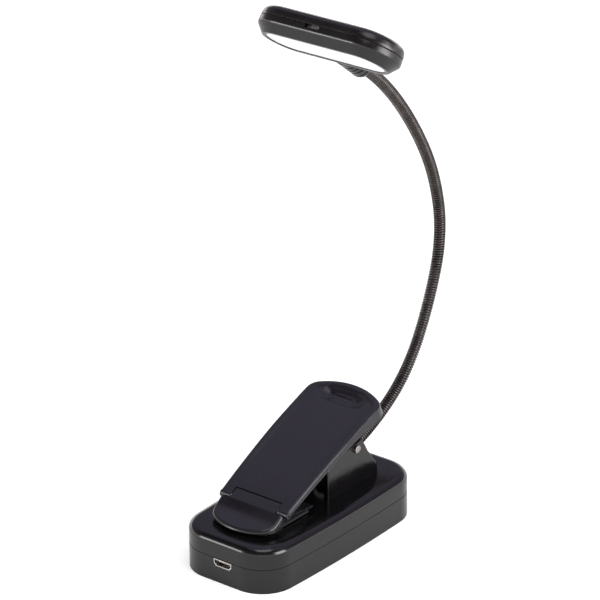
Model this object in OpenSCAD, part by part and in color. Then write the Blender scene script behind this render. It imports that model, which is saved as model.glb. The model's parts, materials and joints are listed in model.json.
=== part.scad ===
// Rechargeable clip-on reading lamp: a battery base that is also half of a sprung clip, a bendable
// wound-steel neck and a flat bar-shaped head. Millimetres, +Z up. The clip's mouth and the charging
// socket face -Y, and the origin is the middle of the base's underside.

/* [Base] */
// Length of the base, front to back
base_l = 84.4; // [82:0.2:92]
// Width of the base across its middle
base_w = 42.2; // [40:0.2:48]
// Radius of the base's upright corners
base_corner_r = 12.3; // [10:0.1:14]
// How far each long side of the base bows out
base_bow = 1.4; // [0.8:0.1:2.2]
// Height of the lower shell
split_h = 8.8; // [8.6:0.1:10]
// Height where the side wall turns into the crown
shoulder_h = 13.8; // [13:0.1:15.5]
// Rise of the crown above the side wall
crown_rise = 2.7; // [2.4:0.1:3.4]
// Width of the rounding between crown and side wall
crown_round = 3.4; // [2.6:0.1:4]
// Wall thickness of the base shells
shell_wall = 2; // [1.8:0.1:2.4]
// Thickness of the base's floor
floor_t = 1.8; // [1.4:0.1:2.2]
// Sideways offset of the charging socket
usb_x = 0.7; // [-3:0.1:3]
// Thickness of the rechargeable cell
battery_t = 6; // [4:0.5:7]
// Length of the control board
board_l = 27; // [24:1:28]

/* [Clip] */
// Distance of the clip's pin behind the base's middle
pin_y = 17.8; // [15:0.1:20]
// Height of the clip's pin above the crown
pin_rise = 13.4; // [12.5:0.1:15]
// Diameter of the clip's steel pin
pin_d = 3; // [2.6:0.1:3.4]
// Inside distance between the two cheeks
cheek_gap = 17; // [16.4:0.1:18]
// Thickness of each cheek
cheek_t = 2; // [1.6:0.1:2.4]
// How far the pin's ends stand out of the cheeks
pin_proud = 1.1; // [0.4:0.1:1.4]
// Tilt of the lever when the clip is shut
lever_tilt = 23; // [22:0.5:25]
// Length of the lever in front of the pin
lever_front = 42.6; // [41:0.1:44]
// Length of the lever behind the pin
lever_rear = 17.7; // [16:0.1:20]
// Width of the lever
lever_w = 30.8; // [30:0.1:33]
// Narrowing of the lever from its middle to its front end
lever_taper = 1.6; // [0.8:0.1:2]
// Distance of the lever's top above the pin
lever_rise = 10.5; // [10:0.1:11.5]
// Height of the lever's lengthwise arch
lever_arch = 1.2; // [0.8:0.1:1.6]
// Thickness of the lever's top plate
lever_t = 1.8; // [1.6:0.1:2.2]
// Depth of the lever's side skirt at the front
skirt_front = 2.5; // [2.4:0.1:3]
// Depth of the lever's side skirt at the rear
skirt_rear = 5; // [4:0.1:5.5]
// Depth of the shallow dish in the lever's top
dish_depth = 0.4; // [0.2:0.05:0.6]
// Width of the thumb recess
thumb_w = 18; // [14:0.5:20]
// Depth of the thumb recess
thumb_depth = 0.7; // [0.4:0.05:0.9]
// Wire diameter of the clip spring
spring_wire = 1.1; // [0.9:0.05:1.2]
// Whole turns of the clip spring
spring_turns = 8; // [6:1:8]

/* [Jaw] */
// Reach of the jaw in front of its pin
jaw_front = 10.4; // [9.5:0.1:12]
// Reach of the jaw plate behind its pin
jaw_back = 16.5; // [14:0.1:18]
// Thickness of the jaw plate
jaw_plate_t = 1; // [0.9:0.1:1.2]
// Thickness of the rubber grip pad
pad_t = 1; // [0.8:0.1:1.2]
// Gap between the grip pad and the crown when shut
mouth_gap = 0.4; // [0.35:0.05:0.6]
// Diameter of the jaw's pin
jaw_pin_d = 1.2; // [1:0.1:1.4]

/* [Neck] */
// Outside diameter of the neck's winding
neck_d = 4.4; // [4.2:0.1:4.8]
// Wire diameter of the neck's winding
neck_wire = 1.24; // [1.1:0.02:1.3]
// Length of each neck link
link_l = 25; // [23:0.5:27]
// Rise angle of the neck where it leaves the base
root_angle = 14.6; // [13:0.1:17]
// Distance of the neck's first bend behind the pin
root_back = 9.3; // [9:0.1:10.5]
// Height of the neck's first bend above the crown
root_rise = 6.3; // [6:0.1:6.8]

/* [Head] */
// Length of the head
head_l = 55; // [50:1:62]
// Width of the head
head_w = 23; // [21.5:0.5:26]
// Thickness of the head
head_t = 9.9; // [9.6:0.1:11]
// Distance of the head's widest line from its face
ridge_h = 3.2; // [2.8:0.1:3.6]
// Width of the bezel's chamfer
bezel_chamfer = 2.7; // [2:0.1:3]
// Width from the head's edge to the diffuser
diffuser_inset = 4.2; // [4:0.1:5]
// Wall thickness of the head
head_wall = 1.5; // [1.3:0.1:1.8]
// Length of the sleeve between the neck and the head
sleeve_l = 13.9; // [12.5:0.1:16]
// Outside diameter of the sleeve
sleeve_d = 8.6; // [8.2:0.1:9.4]
// Number of light chips
led_count = 8; // [5:1:8]
// Travel of the switch
switch_travel = 3.1; // [2.5:0.1:4]

/* [Hidden] */
$fn = 64;
eps = 0.01;

// Fits
run_fit = 0.05;       // radial clearance of a pin in a bore that turns on it
hold_fit = 0.02;      // radial clearance of a piece that is held fast
seat_fit = 0.1;       // a piece that drops into its seat
side_gap = 0.3;       // moving pieces side by side

// Base
crown_h = shoulder_h + crown_rise;
crown_skin = 2.3;                     // wall over the base's ceiling
ceiling_h = crown_h - crown_skin;
bow_r = (base_l * base_l / 4 + base_bow * base_bow) / (2 * base_bow);
column_inset_x = 7.2;                 // the screw columns' middles, from the base's sides
column_inset_y = 9;
column_x = base_w / 2 - column_inset_x;
column_y = base_l / 2 - column_inset_y;
column_d = 5.4;
column_gap = 0.5;                     // from a column to what lies beside it
seat_h = 5.4;                         // joint between the shells' screw columns
screw_d = 2.2;
screw_head_d = 4;
screw_head_t = 1.6;
screw_slot_l = 2.4;
screw_slot_w = 0.6;
screw_sink = 2.6;                     // the screw heads' seat above the underside
screw_l = 8;
lip_h = 1.2;
lip_t = 0.8;
post_d = 3.2;
board_t = 1.2;
board_top = 6;
board_front = shell_wall + 1;         // the board's front edge behind the base's end
board_w = 2 * (column_x - column_d / 2 - column_gap);
board_y = board_front + board_l / 2 - base_l / 2;
usb_w = 7.5;
usb_h = 2.6;
usb_l = 5.2;
usb_wall = 0.3;
usb_z = board_top + usb_h / 2;
usb_cut = 0.9;
usb_tongue_w = 4.6;
usb_tongue_t = 0.6;
cell_gap = 2.2;                       // from the board to the cell
cell_front = board_y + board_l / 2 + cell_gap;
cell_back = column_y - column_d / 2 - column_gap;
battery_w = 2 * (column_x + 1.2);
chip_w = 5;
chip_l = 6;
chip_t = 1.5;
coil_h = 2.6;
plug_w = 5;
plug_l = 3;
plug_h = 2.4;
lead_d = 1;
lead_apart = 1.2;                     // a lead's middle from the base's middle line

// Clip
pin_z = crown_h + pin_rise;
cheek_x = cheek_gap / 2;
cheek_front = 15.5;                   // the cheeks' front edge ahead of the pin
cheek_round = 1.2;
cheek_back = 11.6;                    // the cheeks' rear foot behind the pin
foot_round = 2.2;                     // fillet between the cheeks' feet and the crown
ear_t = 1.9;
ear_x = cheek_x - side_gap;           // outer face of the lever's ears
ear_r = 3.4;
arch_half = (lever_front + lever_rear) / 2;
arch_mid = (lever_rear - lever_front) / 2;
arch_r = (arch_half * arch_half + lever_arch * lever_arch) / (2 * lever_arch);
skirt_t = 1.6;
skirt_mid = skirt_front + 0.8;
end_r = 26;                           // soft curve of the lever's rear and the jaw's front
corner_r = 5;
rim_w = 2.5;                          // soft rim round the lever's dish
taper_l = 32;                         // the part of the lever that narrows
thumb_l = 7;
thumb_back = 6.6;                     // middle of the thumb recess from the lever's rear end
knuckle_r = 1.4;
jaw_pin_u = knuckle_r - lever_front;  // the jaw's pin in the lever's own frame
jaw_pin_v = lever_rise - 0.7;
tongue_r = 2.9;                       // the jaw's tongue, round about its pin
tongue_front = 4;                     // its foot runs on into the nose
tongue_back = tongue_r - 0.7;         // its lower part stays inside the notch as the lever turns
notch_x = 10;                         // half width of the notch for the jaw's tongue
lug_x = lever_w / 2 - lever_taper / 2;
jaw_y = pin_y + jaw_pin_u * cos(lever_tilt) - jaw_pin_v * sin(lever_tilt);
jaw_z = pin_z + jaw_pin_u * sin(lever_tilt) + jaw_pin_v * cos(lever_tilt);
pad_bottom = crown_h + mouth_gap - jaw_z;
plate_bottom = pad_bottom + pad_t;
nose_x = lug_x - 0.3;
nose_corner_r = 7;
nose_flush = 0.8;                     // the nose's strip above the jaw's pin
strip_l = 2.2;                        // from the jaw's pin to the hollow's start
crease_l = 5.2;                       // from the jaw's pin to the crease
crease_drop = 0.1;
nose_lip = 0.7;                       // height of the nose's front edge
hollow_depth = 0.45;                  // the finger hollow across the nose
plate_x = 11.5;
plate_front = 6;                      // reach of the jaw's plate in front of its pin
plate_corner_r = 2.5;
coil_r = pin_d / 2 + 1.5;             // middle of the spring's wire round the pin
spring_pitch = spring_wire + 0.12;
spring_x = spring_turns * spring_pitch / 2;
foot_y = 9.4;                         // where the spring's lower leg stands, behind the pin
reach_u = 9;                          // where the spring's upper leg presses on the lever

// Neck: each link's own bend, as the neck is set
link_bends = [18, 28, 12, 29, 18, 10, 13];
link_count = len(link_bends);
root_y = pin_y + root_back;
root_z = crown_h + root_rise;
winding_r = (neck_d - neck_wire) / 2; // middle of the winding's wire
core_r = winding_r + 0.02;
ball_r = core_r + 0.15;
rim_gap = 0.75;                       // a link's end on each side of a bend's centre
runs = 8;                             // straight stretches in each link
turns_per_run = 2;
boss_r = 4;
boss_l = 15;
boss_end = rim_gap + 0.2;             // the boss's mouth before the first bend
lead_back = boss_end + boss_l - 1.8;  // where the leads come up into the boss
lead_y = root_y - lead_back * cos(root_angle);
lead_z = root_z - lead_back * sin(root_angle);
ferrule_t = 0.65;
ferrule_l = 12;
ferrule_r = core_r + hold_fit + ferrule_t;

// Head, in a frame at the neck's end: +Y on along the neck, +Z out of the light face.
// Depths are measured back from the light face.
face_z = 4;
head_mid = sleeve_l + head_w / 2;
part_depth = 5.6;                     // joint between bezel and back cover
back_start = 7.3;                     // where the back begins to round
back_round = 4.2;
collar_proud = 0.1;                   // the collar round about the sleeve
collar_l = sleeve_d / 2 + collar_proud;
collar_band = 1.5;                    // the collar's straight part
lens_r = head_w / 2 - diffuser_inset;
lens_depth = 0.35;
flange_w = 1.3;
flange_depth = 1.4;
flange_t = 0.6;
led_board_depth = 3;
led_board_t = 1;
led_t = 0.7;
groove_w = 0.6;
switch_x = -0.4;
knob_w = 2.7;
knob_t = 1.1;
knob_depth = 4.9;
knob_proud = 0.8;
slot_w = knob_w + switch_travel + 0.4;
slot_t = knob_t + 0.3;
switch_l = slot_w + 2;
switch_d = 3.4;
switch_seat = 0.35;                   // from the switch to the head's wall
led_margin = 6;                       // from the last chip's pitch to the head's end
led_w = 3.5;
led_l = 2.8;

// ---- Helpers ----

// A convex outline whose corners are arcs of radius r about the given centres, anticlockwise:
// straight sides reach between the corners' arcs, and a disc fills each corner
module rounded(centres, r) {
    n = len(centres);
    out = [for (i = [0:n - 1]) let (side = centres[(i + 1) % n] - centres[i])
        r * [side[1], -side[0]] / norm(side)];
    polygon([for (i = [0:n - 1])
        each [centres[i] + out[(i + n - 1) % n], centres[i], centres[i] + out[i]]]);
    for (c = centres) translate(c) circle(r);
}

module rounded_rect(w, l, r) {
    x = w / 2 - r;
    y = l / 2 - r;
    rounded([[-x, -y], [x, -y], [x, y], [-x, y]], r);
}

// The outer part of a soft end at +Y: round corners of radius r joined by an arc of radius end_r.
// half is the half width; the end's middle is at the origin.
function soft_y(half, r) = sqrt(pow(end_r - r, 2) - pow(half - r, 2)) - end_r;
module soft_end(half, r, inset) {
    cx = half - r;
    cy = soft_y(half, r);
    far = 1.8 * end_r / (end_r - r);
    for (side = [-1, 1]) translate([side * cx, cy]) circle(r - inset);
    intersection() {
        translate([0, -end_r]) circle(end_r - inset, $fn = 180);
        polygon([[0, -end_r], [cx * far, (cy + end_r) * far - end_r],
            [-cx * far, (cy + end_r) * far - end_r]]);
    }
}

// The base's outline, pulled in by inset: straight ends, gently bowed sides, round corners
module base_outline(inset) {
    r = base_corner_r - inset;
    big_r = bow_r - inset;
    y = base_l / 2 - base_corner_r;
    x = base_w / 2 - bow_r + sqrt(pow(bow_r - base_corner_r, 2) - y * y);
    tangent_y = y * big_r / (big_r - r);
    rounded([[-x, -y], [x, -y], [x, y], [-x, y]], r);
    intersection() {
        translate([base_w / 2 - bow_r, 0]) circle(big_r, $fn = 720);
        translate([bow_r - base_w / 2, 0]) circle(big_r, $fn = 720);
        square([base_w, 2 * tangent_y], center = true);
    }
}

// Extrudes a (y, z) profile across X, centred, width w
module across(w) {
    translate([-w / 2, 0, 0]) rotate([90, 0, 90]) linear_extrude(w) children();
}

// A stretch of rod along Y, from one distance to another
module rod(from, to, r) {
    rotate([-90, 0, 0]) translate([0, 0, from]) cylinder(h = to - from, r = r);
}

// A long round-ended form from a profile given as (distance from the middle line, z)
module stadium(l, w) {
    run = l - w;
    for (side = [-1, 1]) translate([side * run / 2, 0, 0])
        rotate_extrude(angle = 180, start = -90 * side) children();
    across(run) {
        children();
        mirror([1, 0]) children();
    }
}

// A tube of round section along a path of points in planes across X, closed at both ends
module sweep(path, r, sides) {
    n = len(path);
    function way(i) = let (d = path[min(i + 1, n - 1)] - path[max(i - 1, 0)]) d / norm(d);
    function ring(i) = let (u = cross([1, 0, 0], way(i)), v = cross(way(i), u / norm(u)))
        [for (k = [0:sides - 1]) let (a = 360 * k / sides)
            path[i] + r * (cos(a) * u / norm(u) + sin(a) * v)];
    polyhedron([for (i = [0:n - 1]) each ring(i)], concat(
        [[for (k = [0:sides - 1]) k]],
        [for (i = [0:n - 2], k = [0:sides - 1]) let (j = (k + 1) % sides)
            [i * sides + k, (i + 1) * sides + k, (i + 1) * sides + j, i * sides + j]],
        [[for (k = [0:sides - 1]) n * sides - 1 - k]]
    ));
}

// ---- Base ----

module at_columns() {
    for (x = [-column_x, column_x], y = [-column_y, column_y])
        translate([x, y, 0]) children();
}

// Outline of the charging socket's shell, with chamfered lower corners
module usb_outline(inset) {
    x = usb_w / 2 - inset;
    z = usb_h / 2 - inset;
    polygon([[-x + usb_cut, -z], [x - usb_cut, -z], [x, -z + usb_cut], [x, z], [-x, z],
        [-x, -z + usb_cut]]);
}

module at_usb() {
    translate([usb_x, usb_l - base_l / 2, usb_z]) rotate([90, 0, 0]) children();
}

module base_lower_shell() {
    color("#1c1c1e") difference() {
        union() {
            difference() {
                linear_extrude(split_h) base_outline(0);
                translate([0, 0, floor_t]) linear_extrude(split_h) base_outline(shell_wall);
            }
            // the lip that keys into the upper shell
            translate([0, 0, floor_t]) linear_extrude(split_h - floor_t + lip_h) difference() {
                base_outline(shell_wall - eps);
                base_outline(shell_wall + lip_t);
            }
            at_columns() cylinder(h = seat_h, d = column_d);
            for (x = [-1, 1], y = [-1, 1])
                translate([x * board_w / 3, board_y + y * board_l / 4, 0])
                    cylinder(h = board_top - board_t, d = post_d);
        }
        at_columns() {
            translate([0, 0, -1]) cylinder(h = screw_sink + 1, d = screw_head_d + 2 * seat_fit);
            cylinder(h = split_h, d = screw_d + 2 * seat_fit);
        }
        at_usb() linear_extrude(usb_l + 1) usb_outline(-0.15);
        // the lip stops on both sides of the charging socket
        translate([usb_x, board_front - base_l / 2, split_h + lip_h / 2])
            cube([usb_w + 6, 2 * board_front, lip_h + eps], center = true);
    }
}

// The crown's soft edge: the outline drawn in along a quarter round
module crown() {
    steps = 5;
    hull() for (i = [0:steps]) {
        a = 90 * i / steps;
        translate([0, 0, shoulder_h + (crown_rise - eps) * sin(a)])
            linear_extrude(eps) base_outline(crown_round * (1 - cos(a)), $fn = 32);
    }
}

// Outline of one cheek in (y, z)
module cheek_outline() {
    foot = crown_h - 1.6;
    front = pin_y - cheek_front + cheek_round;
    rounded([
        [front, foot], [pin_y + cheek_back, foot], [pin_y + cheek_back - 2.2, crown_h + 3.4],
        [pin_y + 2.9, pin_z + 1.4], [pin_y - 7.6, pin_z - 0.5], [front, pin_z - 3.5]
    ], cheek_round);
}

// Section of a foot's fillet: it falls outwards from the foot's side, and its root lies in the crown
module fillet_section() {
    polygon(concat([[-0.3, foot_round], [-0.3, -0.5], [foot_round - 0.1, -0.5]],
        [for (a = [0:15:90]) foot_round * [1 - sin(a), 1 - cos(a)]]));
}

// The fillet round the foot of an upright block from one corner to the other
module foot_fillet(from, to) {
    size = to - from;
    for (side = [0, 1]) translate(side == 0 ? from : to) rotate(180 * side) {
        rotate([90, 0, 90]) linear_extrude(size[0]) mirror([1, 0]) fillet_section();
        rotate([90, 0, 180]) linear_extrude(size[1]) fillet_section();
        rotate_extrude(angle = 90, start = 180) intersection() {
            fillet_section();
            translate([0, -1]) square(foot_round + 1);
        }
        translate([size[0], 0]) rotate_extrude(angle = 90, start = 270) intersection() {
            fillet_section();
            translate([0, -1]) square(foot_round + 1);
        }
    }
}

// The tube between the cheeks that holds the neck's lower end, standing on a rib
module neck_boss() {
    intersection() {
        union() {
            at_link(0) rod(-boss_end - boss_l, -boss_end, boss_r);
            translate([-2, root_y - boss_l + 1, shoulder_h]) cube([4, boss_l - 3, root_z - shoulder_h - 2.5]);
        }
        translate([-base_w / 2, root_y - 1.5 * boss_l, ceiling_h + seat_fit])
            cube([base_w, 3 * boss_l, 2 * pin_rise]);
    }
}

module base_upper_shell() {
    color("#1d1c22") difference() {
        union() {
            difference() {
                union() {
                    translate([0, 0, split_h]) linear_extrude(shoulder_h - split_h + eps)
                        base_outline(0);
                    crown();
                }
                translate([0, 0, split_h - eps]) linear_extrude(ceiling_h - split_h + eps)
                    base_outline(shell_wall);
                translate([0, 0, split_h - eps]) linear_extrude(lip_h + seat_fit)
                    base_outline(shell_wall - seat_fit);
            }
            at_columns() translate([0, 0, seat_h]) cylinder(h = ceiling_h - seat_h + 0.5, d = column_d);
            for (side = [-1, 1])
                translate([side * (cheek_x + cheek_t / 2), 0, 0]) {
                    across(cheek_t) cheek_outline();
                    translate([0, pin_y, crown_h]) foot_fillet(
                        [-cheek_t / 2, -cheek_front], [cheek_t / 2, cheek_back + 0.2]);
                }
            neck_boss();
        }
        at_columns() translate([0, 0, seat_h - eps])
            cylinder(h = screw_sink + screw_l + 1 - seat_h, r = screw_d / 2 + hold_fit);
        translate([-base_w / 2, pin_y, pin_z]) rotate([0, 90, 0])
            cylinder(h = base_w, r = pin_d / 2 + hold_fit);
        at_link(0) {
            rod(-boss_end - ferrule_l, 1, ferrule_r + hold_fit);
            rod(-boss_end - boss_l + 1.6, 1, core_r + hold_fit);
        }
        // the leads' way up from the battery space
        translate([0, lead_y, ceiling_h - 1]) cylinder(h = lead_z - ceiling_h + 1, r = 1.4);
    }
}

module base_screws() {
    color("silver") at_columns() {
        translate([0, 0, screw_sink - screw_head_t]) difference() {
            cylinder(h = screw_head_t, d = screw_head_d);
            for (a = [0, 90]) rotate([0, 0, a])
                cube([screw_slot_l, screw_slot_w, screw_head_t], center = true);
        }
        translate([0, 0, screw_sink - eps]) cylinder(h = screw_l, d = screw_d);
    }
}

module battery_cell() {
    color("lightsteelblue") translate([0, (cell_front + cell_back) / 2, floor_t])
        linear_extrude(battery_t) rounded_rect(battery_w, cell_back - cell_front, 2.5);
}

module control_board() {
    color("darkgreen") translate([0, board_y, board_top - board_t])
        linear_extrude(board_t) rounded_rect(board_w, board_l, 1);
}

module board_components() {
    color("dimgray") translate([0, board_y, board_top]) {
        translate([-board_w / 4, 0, 0]) linear_extrude(chip_t) square([chip_w, chip_l], center = true);
        translate([board_w / 4, coil_h, 0]) cylinder(h = coil_h, r = coil_h);
        translate([board_w / 4, -chip_l, 0]) linear_extrude(chip_t) square([chip_t, coil_h], center = true);
        translate([0, board_l / 2 - plug_l / 2 - column_gap, 0])
            linear_extrude(plug_h) square([plug_w, plug_l], center = true);
    }
}

module usb_socket_shell() {
    color("silver") at_usb() difference() {
        linear_extrude(usb_l) usb_outline(0);
        translate([0, 0, 0.6]) linear_extrude(usb_l) usb_outline(usb_wall);
    }
}

module usb_socket_tongue() {
    color("#101010") at_usb() translate([0, 0.35, 0.6])
        linear_extrude(usb_l - 1.6) square([usb_tongue_w, usb_tongue_t], center = true);
}

module base_leads() {
    plug_y = board_y + board_l / 2 + lead_d / 2 - column_gap;
    run_z = ceiling_h - 1.4 * lead_d;
    close = lead_d / 2 + 0.12;
    for (side = [-1, 1]) color(side < 0 ? "firebrick" : "#222222")
        sweep([
            [side * lead_apart, plug_y, board_top + plug_h / 2],
            [side * lead_apart, plug_y + 1, board_top + plug_h / 2 + 0.3],
            [side * lead_apart, plug_y + plug_l, run_z],
            [side * close, lead_y - 1, run_z], [side * close, lead_y, run_z + lead_d],
            [side * close, lead_y, lead_z - 0.6]
        ], lead_d / 2, 8);
}

// ---- Clip ----

module at_pin() {
    translate([0, pin_y, pin_z]) children();
}

// The lever's own frame: +Y back along the lever, +Z up through its plate
module at_lever() {
    at_pin() rotate([lever_tilt, 0, 0]) children();
}

module clip_pin() {
    half = cheek_x + cheek_t + pin_proud;
    color("silver") at_pin() rotate([0, 90, 0]) translate([0, 0, -half])
        cylinder(h = 2 * half, d = pin_d);
}

// The spring's middle line: a leg on the crown, the coil, and a leg under the lever
function spring_path() = let (
        steps = 14,
        foot = [foot_y, crown_h + spring_wire / 2 + eps - pin_z],
        under = lever_rise + lever_arch * 0.5 - lever_t - spring_wire / 2,
        tip = [reach_u * cos(lever_tilt) - under * sin(lever_tilt),
            reach_u * sin(lever_tilt) + under * cos(lever_tilt)],
        start = atan2(foot[1], foot[0]) - acos(coil_r / norm(foot)),
        stop = atan2(tip[1], tip[0]) + acos(coil_r / norm(tip)) - 360 * spring_turns,
        count = ceil((start - stop) / 360 * steps)
    ) concat(
        [[-spring_x, foot[0], foot[1]]],
        [for (i = [0:count]) let (a = start + (stop - start) * i / count)
            [spring_x * (2 * i / count - 1), coil_r * cos(a), coil_r * sin(a)]],
        [[spring_x, tip[0], tip[1]]]
    );

module clip_spring() {
    color("gray") at_pin() sweep(spring_path(), spring_wire / 2, 6);
}

// The lever seen from above, pulled in by inset: it narrows a little towards its front
module lever_outline(inset) {
    half = lever_w / 2;
    flare = -lever_front + taper_l;
    front = jaw_pin_u;
    wide = lever_rear + soft_y(half, corner_r);
    translate([0, lever_rear]) soft_end(half, corner_r, inset);
    polygon([[-lug_x + inset, front], [lug_x - inset, front], [half - inset, flare],
        [half - inset, wide], [-half + inset, wide], [-half + inset, flare]]);
}

// Everything below the lever's arched top, lowered by drop, as a (y, z) profile
module under_arch(drop) {
    steps = 12;
    turn = 1.1 * asin(arch_half / arch_r);
    polygon(concat(
        [for (i = [0:steps]) let (a = turn * (1 - 2 * i / steps))
            [arch_mid, lever_rise + lever_arch - arch_r] + (arch_r - drop) * [sin(a), cos(a)]],
        [[-lever_front - 2, -8], [lever_rear + 2, -8]]
    ));
}

module lever_side_profile() {
    low = lever_rise;
    intersection() {
        under_arch(0);
        polygon([[jaw_pin_u, low - skirt_front], [-3, low + lever_arch - skirt_mid],
            [lever_rear - 6, low + 0.7 - skirt_rear], [lever_rear + 1, low + 0.7 - skirt_rear],
            [lever_rear + 1, low + 5], [jaw_pin_u, low + 5]]);
    }
    translate([jaw_pin_u, jaw_pin_v]) circle(knuckle_r);
}

// The two ears that carry the pin, running on as ribs under the plate
module lever_ears() {
    for (side = [-1, 1]) translate([side * (ear_x - ear_t / 2), 0, 0]) across(ear_t) {
        circle(ear_r);
        intersection() {
            under_arch(lever_t / 2);
            union() {
                polygon([[-ear_r, 0], [ear_r, 0], [ear_r + 2.6, lever_rise + 2],
                    [-ear_r - 2.6, lever_rise + 2]]);
                polygon([[jaw_pin_u + 9, lever_rise - 2.2], [0, lever_rise - 2.8],
                    [lever_rear - 4, lever_rise - 2.2], [lever_rear - 4, lever_rise + 2],
                    [jaw_pin_u + 9, lever_rise + 2]]);
            }
        }
    }
}

module thumb_recess() {
    pitch = 1.1;
    ridges = floor(thumb_l / pitch / 2);
    intersection() {
        translate([0, lever_rear - thumb_back, 0]) linear_extrude(2 * lever_rise) difference() {
            rounded_rect(thumb_w, thumb_l, thumb_l / 2 - eps);
            for (i = [-ridges:ridges]) translate([0, i * pitch]) square([thumb_w, 0.35], center = true);
        }
        difference() {
            translate([0, 0, lever_rise / 2]) linear_extrude(lever_rise) lever_outline(0);
            across(lever_w) under_arch(thumb_depth);
        }
    }
}

module clip_lever() {
    color("#3d3944") at_lever() difference() {
        union() {
            difference() {
                intersection() {
                    linear_extrude(2 * lever_rise) lever_outline(0);
                    across(lever_w + 2) lever_side_profile();
                }
                // hollow underside
                intersection() {
                    translate([0, 0, -lever_rise]) linear_extrude(3 * lever_rise) difference() {
                        lever_outline(skirt_t);
                        translate([-lever_w / 2, -lever_front]) square([lever_w, 9]);
                    }
                    across(lever_w) under_arch(lever_t);
                }
                // shallow dish inside the soft rim
                difference() {
                    translate([0, 0, lever_rise / 2]) linear_extrude(lever_rise) difference() {
                        lever_outline(rim_w);
                        translate([-lever_w / 2, -lever_front]) square([lever_w, 8]);
                    }
                    across(lever_w) under_arch(dish_depth);
                }
                // notch for the jaw's tongue, round about the jaw's pin
                translate([0, jaw_pin_u, jaw_pin_v]) across(2 * notch_x) {
                    circle(tongue_r + 0.2);
                    translate([-2 * tongue_r, -2 * tongue_r]) square([2 * tongue_r, 4 * tongue_r]);
                }
            }
            lever_ears();
            for (side = [-1, 1]) translate([side * (lug_x + notch_x) / 2, jaw_pin_u, jaw_pin_v])
                across(lug_x - notch_x) circle(knuckle_r);
        }
        thumb_recess();
        across(lever_w) circle(pin_d / 2 + run_fit);
        translate([0, jaw_pin_u, jaw_pin_v]) across(lever_w) circle(jaw_pin_d / 2 + hold_fit);
    }
}

module at_jaw() {
    translate([0, jaw_y, jaw_z]) children();
}

module jaw_pin() {
    half = lug_x - 0.4;
    color("silver") at_jaw() rotate([0, 90, 0]) translate([0, 0, -half])
        cylinder(h = 2 * half, d = jaw_pin_d);
}

// The nose seen from above
module nose_outline() {
    mirror([0, 1]) translate([0, jaw_front]) {
        wide = soft_y(nose_x, nose_corner_r);
        soft_end(nose_x, nose_corner_r, 0);
        translate([-nose_x, -jaw_front - 1]) square([2 * nose_x, jaw_front + 1 + wide]);
    }
}

// The nose in section: a strip flush with the lever, a shallow hollow, a crease and a slope
module nose_profile(back) {
    slope = tan(lever_tilt);
    crease = [-crease_l, nose_flush - crease_drop - crease_l * slope];
    strip = [-strip_l, nose_flush - strip_l * slope];
    half = norm(strip - crease) / 2;
    hollow_r = (half * half + hollow_depth * hollow_depth) / (2 * hollow_depth);
    middle = (strip + crease) / 2 + (hollow_r - hollow_depth) * [-sin(lever_tilt), cos(lever_tilt)];
    difference() {
        polygon([
            [back, nose_flush + back * slope], crease, [-jaw_front, plate_bottom + nose_lip],
            [-jaw_front, plate_bottom], [back, plate_bottom]
        ]);
        // the hollow between the strip and the crease
        translate(middle) circle(hollow_r);
    }
}

module floating_jaw() {
    color("#2c2a33") at_jaw() difference() {
        union() {
            intersection() {
                translate([0, 0, plate_bottom]) linear_extrude(2 * jaw_front) nose_outline();
                across(2 * nose_x) nose_profile(knuckle_r - 0.4);
            }
            // the tongue between the lever's lugs
            intersection() {
                across(2 * (notch_x - side_gap)) union() {
                    circle(tongue_r);
                    translate([-tongue_front, plate_bottom])
                        square([tongue_front + tongue_back, -plate_bottom]);
                }
                across(2 * notch_x) nose_profile(tongue_r);
            }
            translate([0, (jaw_back - plate_front) / 2, plate_bottom]) linear_extrude(jaw_plate_t)
                rounded_rect(2 * plate_x, jaw_back + plate_front, plate_corner_r);
        }
        // room for the lever's knuckles
        for (side = [-1, 1])
            translate([side * (notch_x + 5 - side_gap), 0, 0]) across(10) {
                circle(knuckle_r + side_gap);
                translate([0, plate_bottom + jaw_plate_t]) square([10, 10]);
            }
        across(2 * nose_x) circle(jaw_pin_d / 2 + run_fit);
    }
}

module jaw_grip_pad() {
    rib_pitch = 2;
    pad_l = jaw_back + plate_front;
    color("#1a1a1a") at_jaw() translate([0, (jaw_back - plate_front) / 2, pad_bottom]) difference() {
        linear_extrude(pad_t) rounded_rect(2 * plate_x - 0.6, pad_l - 0.6, 2.2);
        for (i = [1:floor(pad_l / rib_pitch) - 1])
            translate([0, i * rib_pitch - pad_l / 2, 0]) cube([2 * plate_x - 4, 0.7, 0.7], center = true);
    }
}

// ---- Neck ----

function heading(k) = k == 0 ? root_angle : heading(k - 1) + link_bends[k - 1];
function arc_r(k) = link_l * 180 / (PI * link_bends[k]);
function link_start(k) = k == 0 ? [0, root_y, root_z] : let (
        chord = 2 * arc_r(k - 1) * sin(link_bends[k - 1] / 2),
        way = heading(k - 1) + link_bends[k - 1] / 2
    ) link_start(k - 1) + chord * [0, cos(way), sin(way)];
function run_l(k) = 2 * arc_r(k) * sin(link_bends[k] / (2 * runs));

// A frame at the start of a link: +Y along the neck
module at_link(k) {
    translate(link_start(k)) rotate([heading(k), 0, 0]) children();
}

// A frame at the start of one straight run within a link
module at_run(k, j) {
    turn = link_bends[k] * j / runs;
    translate(arc_r(k) * [0, sin(turn), 1 - cos(turn)])
        rotate([turn + link_bends[k] / (2 * runs), 0, 0]) children();
}

// A link's starting ball, its poles on the axis it bends about: up and down on every other link
module at_ball(k) {
    at_link(k) rotate([0, k % 2 == 0 ? 90 : 0, 0]) children();
}

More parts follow.
